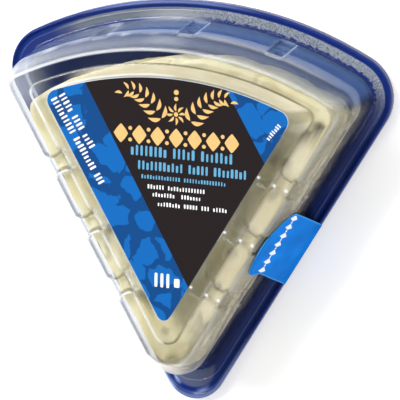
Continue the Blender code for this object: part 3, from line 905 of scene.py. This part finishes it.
def dots(along, side):
    """Bright points where the grooves of the right side meet the ledge's and the table's edges."""
    found = np.zeros(len(along))
    for centre in GROOVE_ALONG:
        for dot_side, before in DOT_PLACES:
            away = np.hypot(along - centre + before, side - dot_side)
            found = np.maximum(found, np.exp(-(away / DOT_SIZE) ** 2))
    return found


def painted_looks(mesh, rings):
    """Painted light and smears at each point of the dome, by its bend, facing and place."""
    rows = len(rings)
    places, normals = points_and_normals(mesh)
    count = len(places)
    level = normals[:, :2]
    tilt = np.hypot(*level.T)
    level = level / np.maximum(tilt, 1e-6)[:, None]
    x, y, z = places.T
    y = y - CENTRE_Y
    height = z - FLANGE_Z
    angle = np.degrees(np.arctan2(x, y))
    from_centre = np.hypot(x, y)
    side = np.repeat([ring[0] for ring in rings], count // rows)
    loop, starts = sector_loop(*rings[0][:4])
    along = np.tile(starts, rows)
    walked = np.tile(np.concatenate([[0], np.cumsum(np.hypot(*np.diff(loop, axis=0).T))]), rows)
    right_line = (along > 0) & (x > 0)

    # Painted highlights: the sheet's bends that face the lights, and single glints and glows.
    bend = bending(mesh, rows)
    ridge = np.clip((bend - BEND_FROM) / (BEND_FULL - BEND_FROM), 0, 1)
    valley = np.clip((-bend - BEND_FROM) / (BEND_FULL - BEND_FROM), 0, 1)
    on_right_ledge = right_line & (side < 0.0002) & (side > -0.0058)
    ridge = np.where(on_right_ledge, LEDGE_DIM[0] * ridge, ridge)
    valley = np.where(on_right_ledge, LEDGE_DIM[1] * valley, valley)
    to_back = np.clip(level @ BACK_WAY, 0, 1) ** 1.5
    to_key = rising(level @ KEY_WAY, 0.55, 0.35)
    to_right = rising(level @ RIGHT_WAY, 0.70, 0.25) * (x > 0)
    to_arc = level[:, 1]
    shaded_side = rising(x, 0.0, 0.004) * falling(from_centre, 0.0965, 0.002)
    gleam = ridge * (0.05 + 0.95 * to_back * (1 - 0.85 * shaded_side))
    gleam += VALLEY_GLEAM * valley * to_key
    past_arc = from_centre > ARC_FROM
    for centre in FLUTE_ANGLES:
        left_edge = bump_at(angle, centre - 1.3, 1.0) * past_arc * (height > FOOT_Z)
        gleam *= 1 - 0.75 * left_edge * (height < 0.0158)
    corner = rising(-angle, 21.0, 8.0) * rising(from_centre, 0.088, 0.008)
    gleam += CORNER_GLEAM * corner * rising(height, 0.010, 0.010)
    gleam += EDGE_GLEAM * to_right * bump_at(height, *EDGE_BAND)
    left_arc = falling(angle, 8.0, 10.0) * rising(angle, -24.0, 6.0) * past_arc
    on_flange = bump_at(side, *FLANGE_BAND) * (height < 0.0012)
    gleam += (FLANGE_GLEAM + LEFT_FLANGE_GLEAM * left_arc) * on_flange
    on_arc = (from_centre > WALL_FROM) * rising(height, 0.0030, 0.002)
    for middle, half, share in KNEE_GLINTS:
        gleam += share * on_arc * bump_at(angle, middle, half) * bump_at(height, *KNEE_BAND)
    glow = SHOULDER_GLEAM
    for middle, half, share in SHOULDER_GLOWS:
        glow = glow + share * bump_at(angle, middle, half)
    gleam += on_arc * rising(height, KNEE_Z, 0.002) * glow
    at_foot = (from_centre > WALL_FROM) * bump_at(height, *FOOT_BAND)
    gleam += FOOT_GLINT[2] * at_foot * bump_at(angle, *FOOT_GLINT[:2])
    gleam += DOT_GLEAM * np.where(right_line, dots(along, side), 0)
    far_left = rising(-x, 0.004, 0.012) * (from_centre > 0.085)
    gleam += FAR_LEFT_GLEAM * far_left * bump_at(side, inner_edge[0] - 0.00015, 0.00035)

    # Painted shade: valleys that face no light, the pads' outlines, the right side and the tip.
    valley = valley * rising(height, 0.0225, 0.0015) * (1 - to_key)
    dim = VALLEY_DIM * valley + np.where(right_line, PAD_DIM * pad_lines(along, side), 0)
    dim += RIGHT_DIM * to_right * (height < SHOULDER_Z)
    dim += TIP_DIM * falling(from_centre, 0.022, 0.010) * (height > SHOULDER_Z)

    # Painted reflection of the blue base on the curved wall, giving way to painted white highlight
    # towards the left; smears on the right wall.
    on_wall = rising(height, 0.0012, 0.0015) * falling(height, WALL_TOP, 0.0012)
    on_shoulder = falling(height, 0.0248, 0.001) * (height > KNEE_Z)
    blue = np.maximum(on_wall, 0.30 * on_shoulder) * rising(to_arc, 0.05, 0.5)
    greyed = rising(-angle, 1.0, 14.0) * falling(height, WALL_TOP, 0.004)
    gleam += GREYED_GLEAM * greyed * blue
    blue = blue * (1 - 0.55 * greyed)
    foot = 0.0050 + 0.0080 * falling(from_centre, 0.032, 0.016)
    smear = to_right * rising(height, foot, 0.008) * falling(height, 0.0250, 0.002)

    # Painted cream light from the cheese: a line along the curved wall's knee, the right pads, the
    # tip and the table's slope.
    at_knee = on_arc * bump_at(height, *CREAM_BAND) * rising(angle, 0.0, 6.0)
    at_knee = at_knee * falling(angle, 27.5, 4.0)
    on_pads = np.where(right_line, PAD_CREAM * inside_pads(along, side), 0)
    at_tip = rising(-to_arc, 0.4, 0.3) * (from_centre < 0.015) * falling(x, 0.0035, 0.003)
    at_tip = at_tip * rising(height, 0.002, 0.004) * (height < 0.0250)
    on_slope = (height > TABLE_Z) * rising(tilt, 0.15, 0.2) * rising(to_arc, 0.6, 0.3)
    on_slope = on_slope * (from_centre > 0.080) * rising(angle, -20.0, 8.0)
    cream = np.maximum.reduce([at_knee, on_pads, TIP_CREAM * at_tip, SLOPE_CREAM * on_slope])
    for name, values in (("gleam", np.clip(gleam, 0, 1.6)), ("dim", np.clip(dim, 0, 1)),
                         ("mirrored_blue", blue), ("smear", smear), ("mirrored_cream", cream)):
        paint(mesh, name, values)
    streak_place = mesh.attributes.new("streak_place", "FLOAT_VECTOR", "POINT")
    spots = np.column_stack([walked / STREAK_LENGTH, height / STREAK_WIDTH, np.zeros(count)])
    streak_place.data.foreach_set("vector", spots.ravel())


outer_edge = np.array(DOME_FOOT[-1])
inner_edge = np.array(DOME_TABLE[0])
ledge = [tuple(outer_edge + (inner_edge - outer_edge) * step / LEDGE_STEPS)
         for step in range(1, LEDGE_STEPS)]
dome_rings = (*DOME_FOOT, *ledge, *DOME_TABLE)
dome_mesh = lofted("dome", [dome_loop(ring) for ring in dome_rings])
painted_looks(dome_mesh, dome_rings)
dome_mesh.materials.append(clear_moulding())
dome = add_piece("dome", dome_mesh)
sheet_thickness(dome, DOME_SHEET)
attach(dome, "root")
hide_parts("clear_dome")

# Label.  Printed paper glued on the dome's table: a dark field between two fields of mottled
# blue, parted by slanting edges.

LABEL_RING = (-0.00977, -0.00714, 0.0022, 0.0034)
label_low, label_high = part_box("label")
LABEL_BOTTOM = label_low[2] - FLANGE_Z
INK_THICKNESS = 0.00002
LABEL_TOP = label_high[2] - FLANGE_Z - 2 * INK_THICKNESS
# The dark field lies to the right of each of these lines, walked from the first point.
DARK_FIELD_SIDES = (
    ((0.0073, -0.0173), (-0.0246, 0.0398)),
    ((0.0177, 0.0416), (0.0294, 0.0214)),
)
PRINT_BLUR = 0.00008
LABEL_BLUES = ((0.004, 0.060, 0.220), (0.005, 0.128, 0.440))
LABEL_DARK = (0.016, 0.011, 0.012)
PAPER = (0.62, 0.72, 0.82)
CUT_EDGE = 0.00018                    # how wide the white paper shows at the label's cut edge
RIGHT_EDGE_SHARE = 0.15               # and how much of it shows on the right side


def label_print():
    """Blue in pale islands and darker channels, the dark field over it, pale at the cut edge."""
    made, tree, shader = new_material("label_print")
    place = add_node(tree, "ShaderNodeTexCoord").outputs["Object"]
    bent = add_node(tree, "ShaderNodeVectorMath", {
        0: mottle(tree, 150.0, 2.0, "Color"), 1: (0.006, 0.006, 0.0), 2: place},
        operation="MULTIPLY_ADD").outputs["Vector"]
    cells = add_node(tree, "ShaderNodeTexVoronoi", {"Scale": 125.0, "Vector": bent},
                     feature="DISTANCE_TO_EDGE").outputs["Distance"]
    channels = reckoned(tree, "MULTIPLY_ADD", mottle(tree, 105.0, 3.0), 0.9, -0.36)
    islands = ranged(tree, reckoned(tree, "SUBTRACT", cells, channels), 0.0, 0.03)
    blue = mixed(tree, islands, *LABEL_BLUES)
    sides = []
    for (x_1, y_1), (x_2, y_2) in DARK_FIELD_SIDES:
        across = Vector((y_2 - y_1, x_1 - x_2, 0)).normalized()
        edge = across.dot((x_1, y_1, 0))
        reach = add_node(tree, "ShaderNodeVectorMath", {0: place, 1: across},
                         operation="DOT_PRODUCT").outputs["Value"]
        sides.append(ranged(tree, reach, edge - PRINT_BLUR, edge + PRINT_BLUR))
    inked = mixed(tree, reckoned(tree, "MULTIPLY", *sides), blue, LABEL_DARK)
    set_inputs(tree, shader, {
        "Base Color": mixed(tree, painted(tree, "cut_edge"), inked, PAPER),
        "Roughness": 0.50,
        "Specular IOR Level": 0.12})
    return made


loops = []
cut_edge = []
side, arc, tip, corner = LABEL_RING
for inset, height, share in ((0.0, LABEL_BOTTOM, 1.0), (0.0, LABEL_TOP, 1.0),
                             (CUT_EDGE / 2, LABEL_TOP, 0.8), (CUT_EDGE, LABEL_TOP, 0.0)):
    points, places = sector_loop(side - inset, arc - inset, tip - inset, corner - inset)
    loops.append(placed(points, height))
    cut_edge.append(share * np.where((places > 0) & (points[:, 0] > 0), RIGHT_EDGE_SHARE, 1.0))
label_mesh = lofted("printed_label", loops)
paint(label_mesh, "cut_edge", cut_edge)
label_mesh.materials.append(label_print())
printed_label = add_piece("printed_label", label_mesh)
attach(printed_label, "root")
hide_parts("label")

# Print on the label.  Flat inks: a gold ornament of leaves over a gold border of lozenges and
# beads, rows of short blue and white strokes, and white strokes on the blue side field.

INK_Z = label_high[2] - INK_THICKNESS
# All in millimetres.  The ornament: its middle, how its two sprays run, and their leaves.
ORNAMENT = (2.9, 35.2)
SPRAY_PAIRS = 7
SPRAY_START, SPRAY_REACH = 4.3, 11.6
SPRAY_LOW, SPRAY_RISE, SPRAY_ARCH = 3.9, 7.6, 1.9
LEAF_LENGTH, LEAF_WIDTH, LEAF_TAPER = 3.9, 0.72, 0.42
LEAF_LEANS = (0.95, -0.90)            # how far each leaf of a pair leans off the stem, in radians
STEM_GAP = 0.25
END_LEAF = (16.2, 2.5, 2.4, 1.9)      # the leaf at a spray's end: out, up, length, width
PETALS = 8
ROSETTE_DOWN = 2.2
BORDER_Y = 26.1                       # the row of lozenges
LOZENGE_PITCH = 5.55
TALL_SHARE, SHORT_STROKE = 0.7, 0.78  # seven strokes in ten are tall, the others this much of it
# Rows of strokes: both ends, height, strokes in each group, pitch, width, seed.
PALE_BLUE_ROWS = (
    (-10.8, 21.5, 20.2, 21.5, 3.0, (6, 4, 6), 1.35, 0.72, 5),
    (-8.6, 17.3, 24.4, 17.3, 2.6, (7, 4, 6), 1.25, 0.66, 6),
    (-7.4, 14.0, 18.2, 14.0, 1.2, (11, 12), 0.85, 0.42, 7),
)
WHITE_ROWS = (
    (-5.5, 11.2, 12.0, 11.2, 1.25, (4, 9), 0.86, 0.42, 8),
    (-4.0, 9.0, 10.8, 9.0, 1.25, (5, 1, 5), 0.86, 0.42, 9),
    (-2.4, 6.3, 18.7, 6.3, 1.25, (5, 4, 2, 4), 0.86, 0.42, 10),
    (-31.9, 36.0, -22.0, 20.8, 2.1, (3, 3, 3), 1.15, 0.55, 11),
    (-34.3, 34.6, -19.1, 10.5, 2.1, (8, 8, 3), 1.15, 0.55, 12),
    (30.1, 28.2, 33.8, 32.9, 1.3, (7,), 0.80, 0.42, 13),
)
WHITE_BARS = [(-2.4, -16.2, 0.9, 4.2, 0.0), (-0.6, -16.2, 0.9, 4.2, 0.0),
              (1.2, -16.2, 0.9, 4.2, 0.0), (3.9, -16.6, 1.7, 2.6, 0.0)]


def outline_slab(name, outline):
    """A closed slab of unit thickness, centred in height, over a flat outline."""
    count = len(outline)
    lower = [(x, y, -0.5) for x, y in outline]
    upper = [(x, y, 0.5) for x, y in outline]
    faces = [tuple(reversed(range(count))), tuple(range(count, 2 * count))]
    faces += [(i, (i + 1) % count, count + (i + 1) % count, count + i) for i in range(count)]
    mesh = bpy.data.meshes.new(name)
    mesh.from_pydata(lower + upper, [], faces)
    return mesh


def round_outline(steps=20, power=2.0):
    """A closed curve in a unit square: a circle for power 2, squarer for more."""
    made = []
    for i in range(steps):
        turn = 2 * math.pi * (i + 0.5) / steps
        x, y = math.cos(turn), math.sin(turn)
        made.append((0.5 * math.copysign(abs(x) ** (2 / power), x),
                     0.5 * math.copysign(abs(y) ** (2 / power), y)))
    return made


def leaf_outline(steps=9):
    """A pointed leaf one unit long from its stem at the origin, bellied to one side."""
    upper = [(t, 0.30 * math.sin(math.pi * t ** 0.8) + 0.10 * math.sin(math.pi * t))
             for t in np.linspace(0, 1, steps)]
    lower = [(t, -0.14 * math.sin(math.pi * t ** 0.8) + 0.10 * math.sin(math.pi * t))
             for t in np.linspace(1, 0, steps)[1:-1]]
    return (upper + lower)[::-1]


def stamp_tree():
    """Geometry nodes: a shape set on each point, sized and turned by the point's attributes."""
    tree = bpy.data.node_groups.new("stamps", "GeometryNodeTree")
    for name, way, kind in (("Geometry", "INPUT", "Geometry"), ("Shape", "INPUT", "Object"),
                            ("Ink", "INPUT", "Material"), ("Geometry", "OUTPUT", "Geometry")):
        tree.interface.new_socket(name, in_out=way, socket_type="NodeSocket" + kind)
    given = add_node(tree, "NodeGroupInput").outputs
    shape = add_node(tree, "GeometryNodeObjectInfo", {"Object": given["Shape"]}).outputs["Geometry"]
    size, turn = [add_node(tree, "GeometryNodeInputNamedAttribute", {"Name": name},
                           data_type="FLOAT_VECTOR").outputs["Attribute"]
                  for name in ("size", "turn")]
    turned = add_node(tree, "FunctionNodeEulerToRotation", {"Euler": turn}).outputs["Rotation"]
    stamps = add_node(tree, "GeometryNodeInstanceOnPoints", {
        "Points": given["Geometry"], "Instance": shape,
        "Rotation": turned, "Scale": size}).outputs["Instances"]
    real = add_node(tree, "GeometryNodeRealizeInstances", {"Geometry": stamps}).outputs["Geometry"]
    inked = add_node(tree, "GeometryNodeSetMaterial", {"Geometry": real, "Material": given["Ink"]})
    add_node(tree, "NodeGroupOutput", {"Geometry": inked.outputs["Geometry"]})
    return tree


def set_input(modifier, name, value):
    for item in modifier.node_group.interface.items_tree:
        if item.item_type == "SOCKET" and item.in_out == "INPUT" and item.name == name:
            modifier[item.identifier] = value


def baked(piece):
    """The piece's modifiers made real in a plain mesh; the modifiers are then removed."""
    graph = bpy.context.evaluated_depsgraph_get()
    plain = bpy.data.meshes.new_from_object(piece.evaluated_get(graph))
    piece.modifiers.clear()
    piece.data = plain


STAMPS = stamp_tree()


def stamped(name, outline, marks, ink):
    """One ink's marks of one shape; each mark is x, y, length, height in mm and its turn."""
    points = bpy.data.meshes.new(name)
    points.from_pydata([(x / 1000, y / 1000, INK_Z) for x, y, *_ in marks], [], [])
    size = points.attributes.new("size", "FLOAT_VECTOR", "POINT")
    turn = points.attributes.new("turn", "FLOAT_VECTOR", "POINT")
    for i, (_, _, length, height, angle) in enumerate(marks):
        size.data[i].vector = (length / 1000, height / 1000, INK_THICKNESS)
        turn.data[i].vector = (0, 0, angle)
    shape = add_piece(name + "_shape", outline_slab(name + "_shape", outline))
    piece = add_piece(name, points)
    modifier = piece.modifiers.new("stamps", "NODES")
    modifier.node_group = STAMPS
    set_input(modifier, "Shape", shape)
    set_input(modifier, "Ink", ink)
    baked(piece)
    bpy.data.objects.remove(shape)
    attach(piece, "root")


def ink(name, low, high):
    """A flat ink, slightly uneven where it took on the paper."""
    made, tree, shader = new_material(name)
    set_inputs(tree, shader, {"Base Color": mixed(tree, mottle(tree, 900.0), low, high),
                              "Roughness": 0.38})
    return made


def strokes(x_1, y_1, x_2, y_2, height, groups, pitch, width, seed):
    """A row of short upright strokes from one end to the other, with gaps between groups."""
    length = math.hypot(x_2 - x_1, y_2 - y_1)
    angle = math.atan2(y_2 - y_1, x_2 - x_1)
    draw = np.random.default_rng(seed)
    count = int(length / pitch)
    gaps = set()
    spot = 0
    for size in groups[:-1]:
        spot += size
        gaps.add(round(spot / sum(groups) * count))
    made = []
    for i in range(count):
        if i in gaps:
            continue
        share = (i + 0.5) / count
        tall = height * (1.0 if draw.random() < TALL_SHARE else SHORT_STROKE)
        low = (tall - height) / 2
        made.append((x_1 + (x_2 - x_1) * share - low * math.sin(angle),
                     y_1 + (y_2 - y_1) * share + low * math.cos(angle),
                     width * draw.uniform(0.85, 1.25), tall, angle))
    return made


def leaves():
    """Two sprays that rise from the middle and arch outwards, leaves in pairs along each."""
    made = []
    for hand in (-1, 1):
        for i in range(SPRAY_PAIRS):
            t = i / SPRAY_PAIRS
            x = ORNAMENT[0] + hand * (SPRAY_START + SPRAY_REACH * t)
            y = ORNAMENT[1] - SPRAY_LOW + SPRAY_RISE * math.sin(SPRAY_ARCH * t)
            slope = SPRAY_RISE * SPRAY_ARCH * math.cos(SPRAY_ARCH * t)
            stem = math.atan2(slope, SPRAY_REACH)
            size = LEAF_LENGTH * (1 - LEAF_TAPER * t)
            for lean in LEAF_LEANS:
                angle = stem + lean
                if hand < 0:
                    angle = math.pi - angle
                width = LEAF_WIDTH if lean * hand > 0 else -LEAF_WIDTH
                made.append((x + STEM_GAP * math.cos(angle), y + STEM_GAP * math.sin(angle),
                             size, size * width, angle))
        out, up, length, width = END_LEAF
        made.append((ORNAMENT[0] + hand * out, ORNAMENT[1] + up, length,
                     hand * width, 0.0 if hand > 0 else math.pi))
    return made


GOLD = ink("gold_ink", (0.74, 0.45, 0.155), (0.86, 0.56, 0.215))
PALE_BLUE = ink("pale_blue_ink", (0.10, 0.34, 0.56), (0.14, 0.42, 0.66))
WHITE = ink("white_ink", (0.86, 0.88, 0.90), (0.93, 0.94, 0.95))

stamped("gold_leaves", leaf_outline(), leaves(), GOLD)
petals = [(ORNAMENT[0] + 0.9 * math.cos(a), ORNAMENT[1] - ROSETTE_DOWN + 0.9 * math.sin(a),
           2.3, 1.7, a) for a in np.linspace(0, 2 * math.pi, PETALS, endpoint=False)]
stamped("gold_rosette", leaf_outline(), petals, GOLD)
lozenges = [(-13.6 + LOZENGE_PITCH * i, BORDER_Y, 4.3, 5.6, 0.0) for i in range(7)]
stamped("gold_lozenges", round_outline(24, 1.15), lozenges, GOLD)
beads = [(-10.8 + LOZENGE_PITCH * i, BORDER_Y + dy, 1.15, 1.15, 0.0)
         for i in range(6) for dy in (-1.7, 1.7)]
beads += [(ORNAMENT[0], ORNAMENT[1] + 4.2 - 1.9 * i, 1.5 - 0.25 * i, 1.5 - 0.25 * i, 0.0)
          for i in range(2)]
beads.append((ORNAMENT[0], ORNAMENT[1] - ROSETTE_DOWN, 1.3, 1.3, 0.0))
stamped("gold_beads", round_outline(), beads, GOLD)
stroke_shape = round_outline(16, 6.0)
stamped("pale_blue_strokes", stroke_shape,
        [mark for row in PALE_BLUE_ROWS for mark in strokes(*row)], PALE_BLUE)
stamped("white_strokes", stroke_shape,
        [mark for row in WHITE_ROWS for mark in strokes(*row)] + WHITE_BARS, WHITE)

# Seal tab.  A strip of bright blue film.  Its rounded end is stuck to the dome's right shoulder;
# from the knee there it spans to the rim in one slanting plane, and it is folded over the lip.
# A row of white lozenges and dots is printed along the knee.

TAB_THICKNESS = 0.00015
# Down the tab's middle: distance outside the nominal sector, height over the flange.
TAB_PATH = (
    (0.00125, 0.02330), (0.00170, 0.02200), (0.00262, 0.01930), (0.00316, 0.01785),
    (0.00342, 0.01720), (0.00362, 0.01665), (0.00374, 0.01620), (0.00419, 0.01490),
    (0.00480, 0.01315), (0.00550, 0.01113), (0.00630, 0.00882), (0.00710, 0.00651),
    (0.00790, 0.00420), (0.00850, 0.00247), (0.00895, 0.00117), (0.00925, 0.00075),
    (0.00945, 0.00040), (0.00956, 0.00000), (0.00958, -0.00040),
)
TAB_KNEE, TAB_RIM = 6, -5             # the path's points at the knee and at the rim
# Along the side, at the top edge, the knee and the rim: where the tab begins and ends.
TAB_LOW = (0.0418, 0.0431, 0.0379)
TAB_HIGH = (0.0649, 0.0649, 0.0600)
TAB_CREST = 0.0524
TAB_FALL = (0.0021, 0.0062)
TAB_CORNER = (0.0026, 0.0006)
TAB_COLUMNS = 80
TAB_SLACK = 0.00012                   # how far the span between knee and rim waves
SPAN_OUT, SPAN_UP = 0.945, 0.327      # the way that the slanting span faces
# The printed row, in centimetres: its ends along the side, and its lozenges and dots.
MARKS_FROM, MARKS_TO = 4.46, 6.33
HALF_PITCH = 0.156
LOZENGE_HALF = (0.115, 0.190)
DOT_RADIUS = 0.036
ROW_BELOW_KNEE = 0.015
ROW_MARGIN = 0.09
TAB_BLUES = ((0.001, 0.140, 0.540), (0.001, 0.225, 0.800))
TAB_EDGE_BLUE = (0.080, 0.400, 0.830)
TAB_WHITE = (0.80, 0.88, 0.95)


def tab_edge(along):
    """How far down the shoulder the tab's top edge is below its crest."""
    low_end = along < TAB_CREST
    end = TAB_LOW[0] if low_end else TAB_HIGH[0]
    fall = TAB_FALL[0] if low_end else TAB_FALL[1]
    corner = TAB_CORNER[0] if low_end else TAB_CORNER[1]
    drop = fall * ((along - TAB_CREST) / (end - TAB_CREST)) ** 2
    from_end = abs(along - end)
    if from_end < corner:
        drop += corner - math.sqrt(corner ** 2 - (corner - from_end) ** 2)
    return drop


def tab_sheet():
    """Lines from the top edge to the rim; returns the mesh and how far down its path the knee is.

    Places of the print, in centimetres: along the side from the knee's line, and down the path.
    """
    sin_a, cos_a = math.sin(HALF_ANGLE), math.cos(HALF_ANGLE)
    path = np.array(TAB_PATH)
    reach = np.concatenate([[0], np.cumsum(np.hypot(*np.diff(path, axis=0).T))])
    knee = reach[TAB_KNEE]
    vertices, print_places = [], []
    for share in np.linspace(0, 1, TAB_COLUMNS + 1):
        start = tab_edge(TAB_LOW[0] + (TAB_HIGH[0] - TAB_LOW[0]) * share)
        distance = reach.copy()
        distance[:TAB_KNEE] = start + (knee - start) * reach[:TAB_KNEE] / knee
        side = np.interp(distance, reach, path[:, 0])
        height = np.interp(distance, reach, path[:, 1])
        low = np.interp(distance, (0, knee, reach[-1]), TAB_LOW)
        high = np.interp(distance, (0, knee, reach[-1]), TAB_HIGH)
        along = low + (high - low) * share
        spanned = np.clip((distance - knee) / (reach[TAB_RIM] - knee), 0, 1)
        wave = TAB_SLACK * np.sin(math.pi * spanned) * (0.4 + np.sin(9 * share + 4 * spanned))
        side = side + wave * SPAN_OUT
        height = height + wave * SPAN_UP
        x = along * sin_a + side * cos_a
        y = along * cos_a - side * sin_a
        vertices.extend(placed(np.column_stack([x, y]), height).tolist())
        from_knee = TAB_LOW[1] + (TAB_HIGH[1] - TAB_LOW[1]) * share
        edge = np.minimum(share, 1 - share) * (TAB_HIGH[1] - TAB_LOW[1])
        edge = np.minimum(edge, distance - start)
        across = np.full(len(path), from_knee)
        print_places.extend(np.column_stack([across, distance, edge]).tolist())
    rows = len(path)
    faces = [(c * rows + r, c * rows + r + 1, (c + 1) * rows + r + 1, (c + 1) * rows + r)
             for c in range(TAB_COLUMNS) for r in range(rows - 1)]
    mesh = bpy.data.meshes.new("blue_tab")
    mesh.from_pydata(vertices, [], faces)
    mesh.shade_smooth()
    spots = mesh.uv_layers.new(name="print")
    for loop in mesh.loops:
        u, v, _ = print_places[loop.vertex_index]
        spots.data[loop.index].uv = (u * 100, v * 100)
    paint(mesh, "from_edge", [edge * 1000 for _, _, edge in print_places])
    return mesh, knee * 100


def tab_print(knee):
    """Bright blue film, paler at its cut edge, with lozenges and dots along the knee."""
    made, tree, shader = new_material("tab_print")

    def step(operation, *values):
        return reckoned(tree, operation, *values)

    where = add_node(tree, "ShaderNodeUVMap", uv_map="print").outputs["UV"]
    spot = add_node(tree, "ShaderNodeSeparateXYZ", {"Vector": where}).outputs
    from_row = step("ABSOLUTE", step("SUBTRACT", spot["Y"], knee + ROW_BELOW_KNEE))
    to_lozenge = step("PINGPONG", step("SUBTRACT", spot["X"], MARKS_FROM), HALF_PITCH)
    to_dot = step("SUBTRACT", HALF_PITCH, to_lozenge)
    lozenge = step("LESS_THAN", step("ADD", step("DIVIDE", to_lozenge, LOZENGE_HALF[0]),
                                     step("DIVIDE", from_row, LOZENGE_HALF[1])), 1.0)
    round_spot = step("ADD", step("POWER", to_dot, 2.0), step("POWER", from_row, 2.0))
    dot = step("LESS_THAN", round_spot, DOT_RADIUS ** 2)
    first = step("GREATER_THAN", spot["X"], MARKS_FROM - ROW_MARGIN)
    last = step("LESS_THAN", spot["X"], MARKS_TO + ROW_MARGIN)
    mark = step("MULTIPLY", step("MAXIMUM", lozenge, dot), step("MULTIPLY", first, last))
    blue = mixed(tree, ranged(tree, mottle(tree, 120.0), 0.25, 0.75), *TAB_BLUES)
    pale = ranged(tree, painted(tree, "from_edge"), 0.45, 0.10, 0.0, 0.8)
    edged = mixed(tree, pale, blue, TAB_EDGE_BLUE)
    set_inputs(tree, shader, {
        "Base Color": mixed(tree, mark, edged, TAB_WHITE),
        "Roughness": 0.50,
        "Specular IOR Level": 0.03})
    return made


tab_mesh, knee_distance = tab_sheet()
tab_mesh.materials.append(tab_print(knee_distance))
blue_tab = add_piece("blue_tab", tab_mesh)
sheet_thickness(blue_tab, TAB_THICKNESS, 1.0)
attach(blue_tab, "root")
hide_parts("seal_tab")
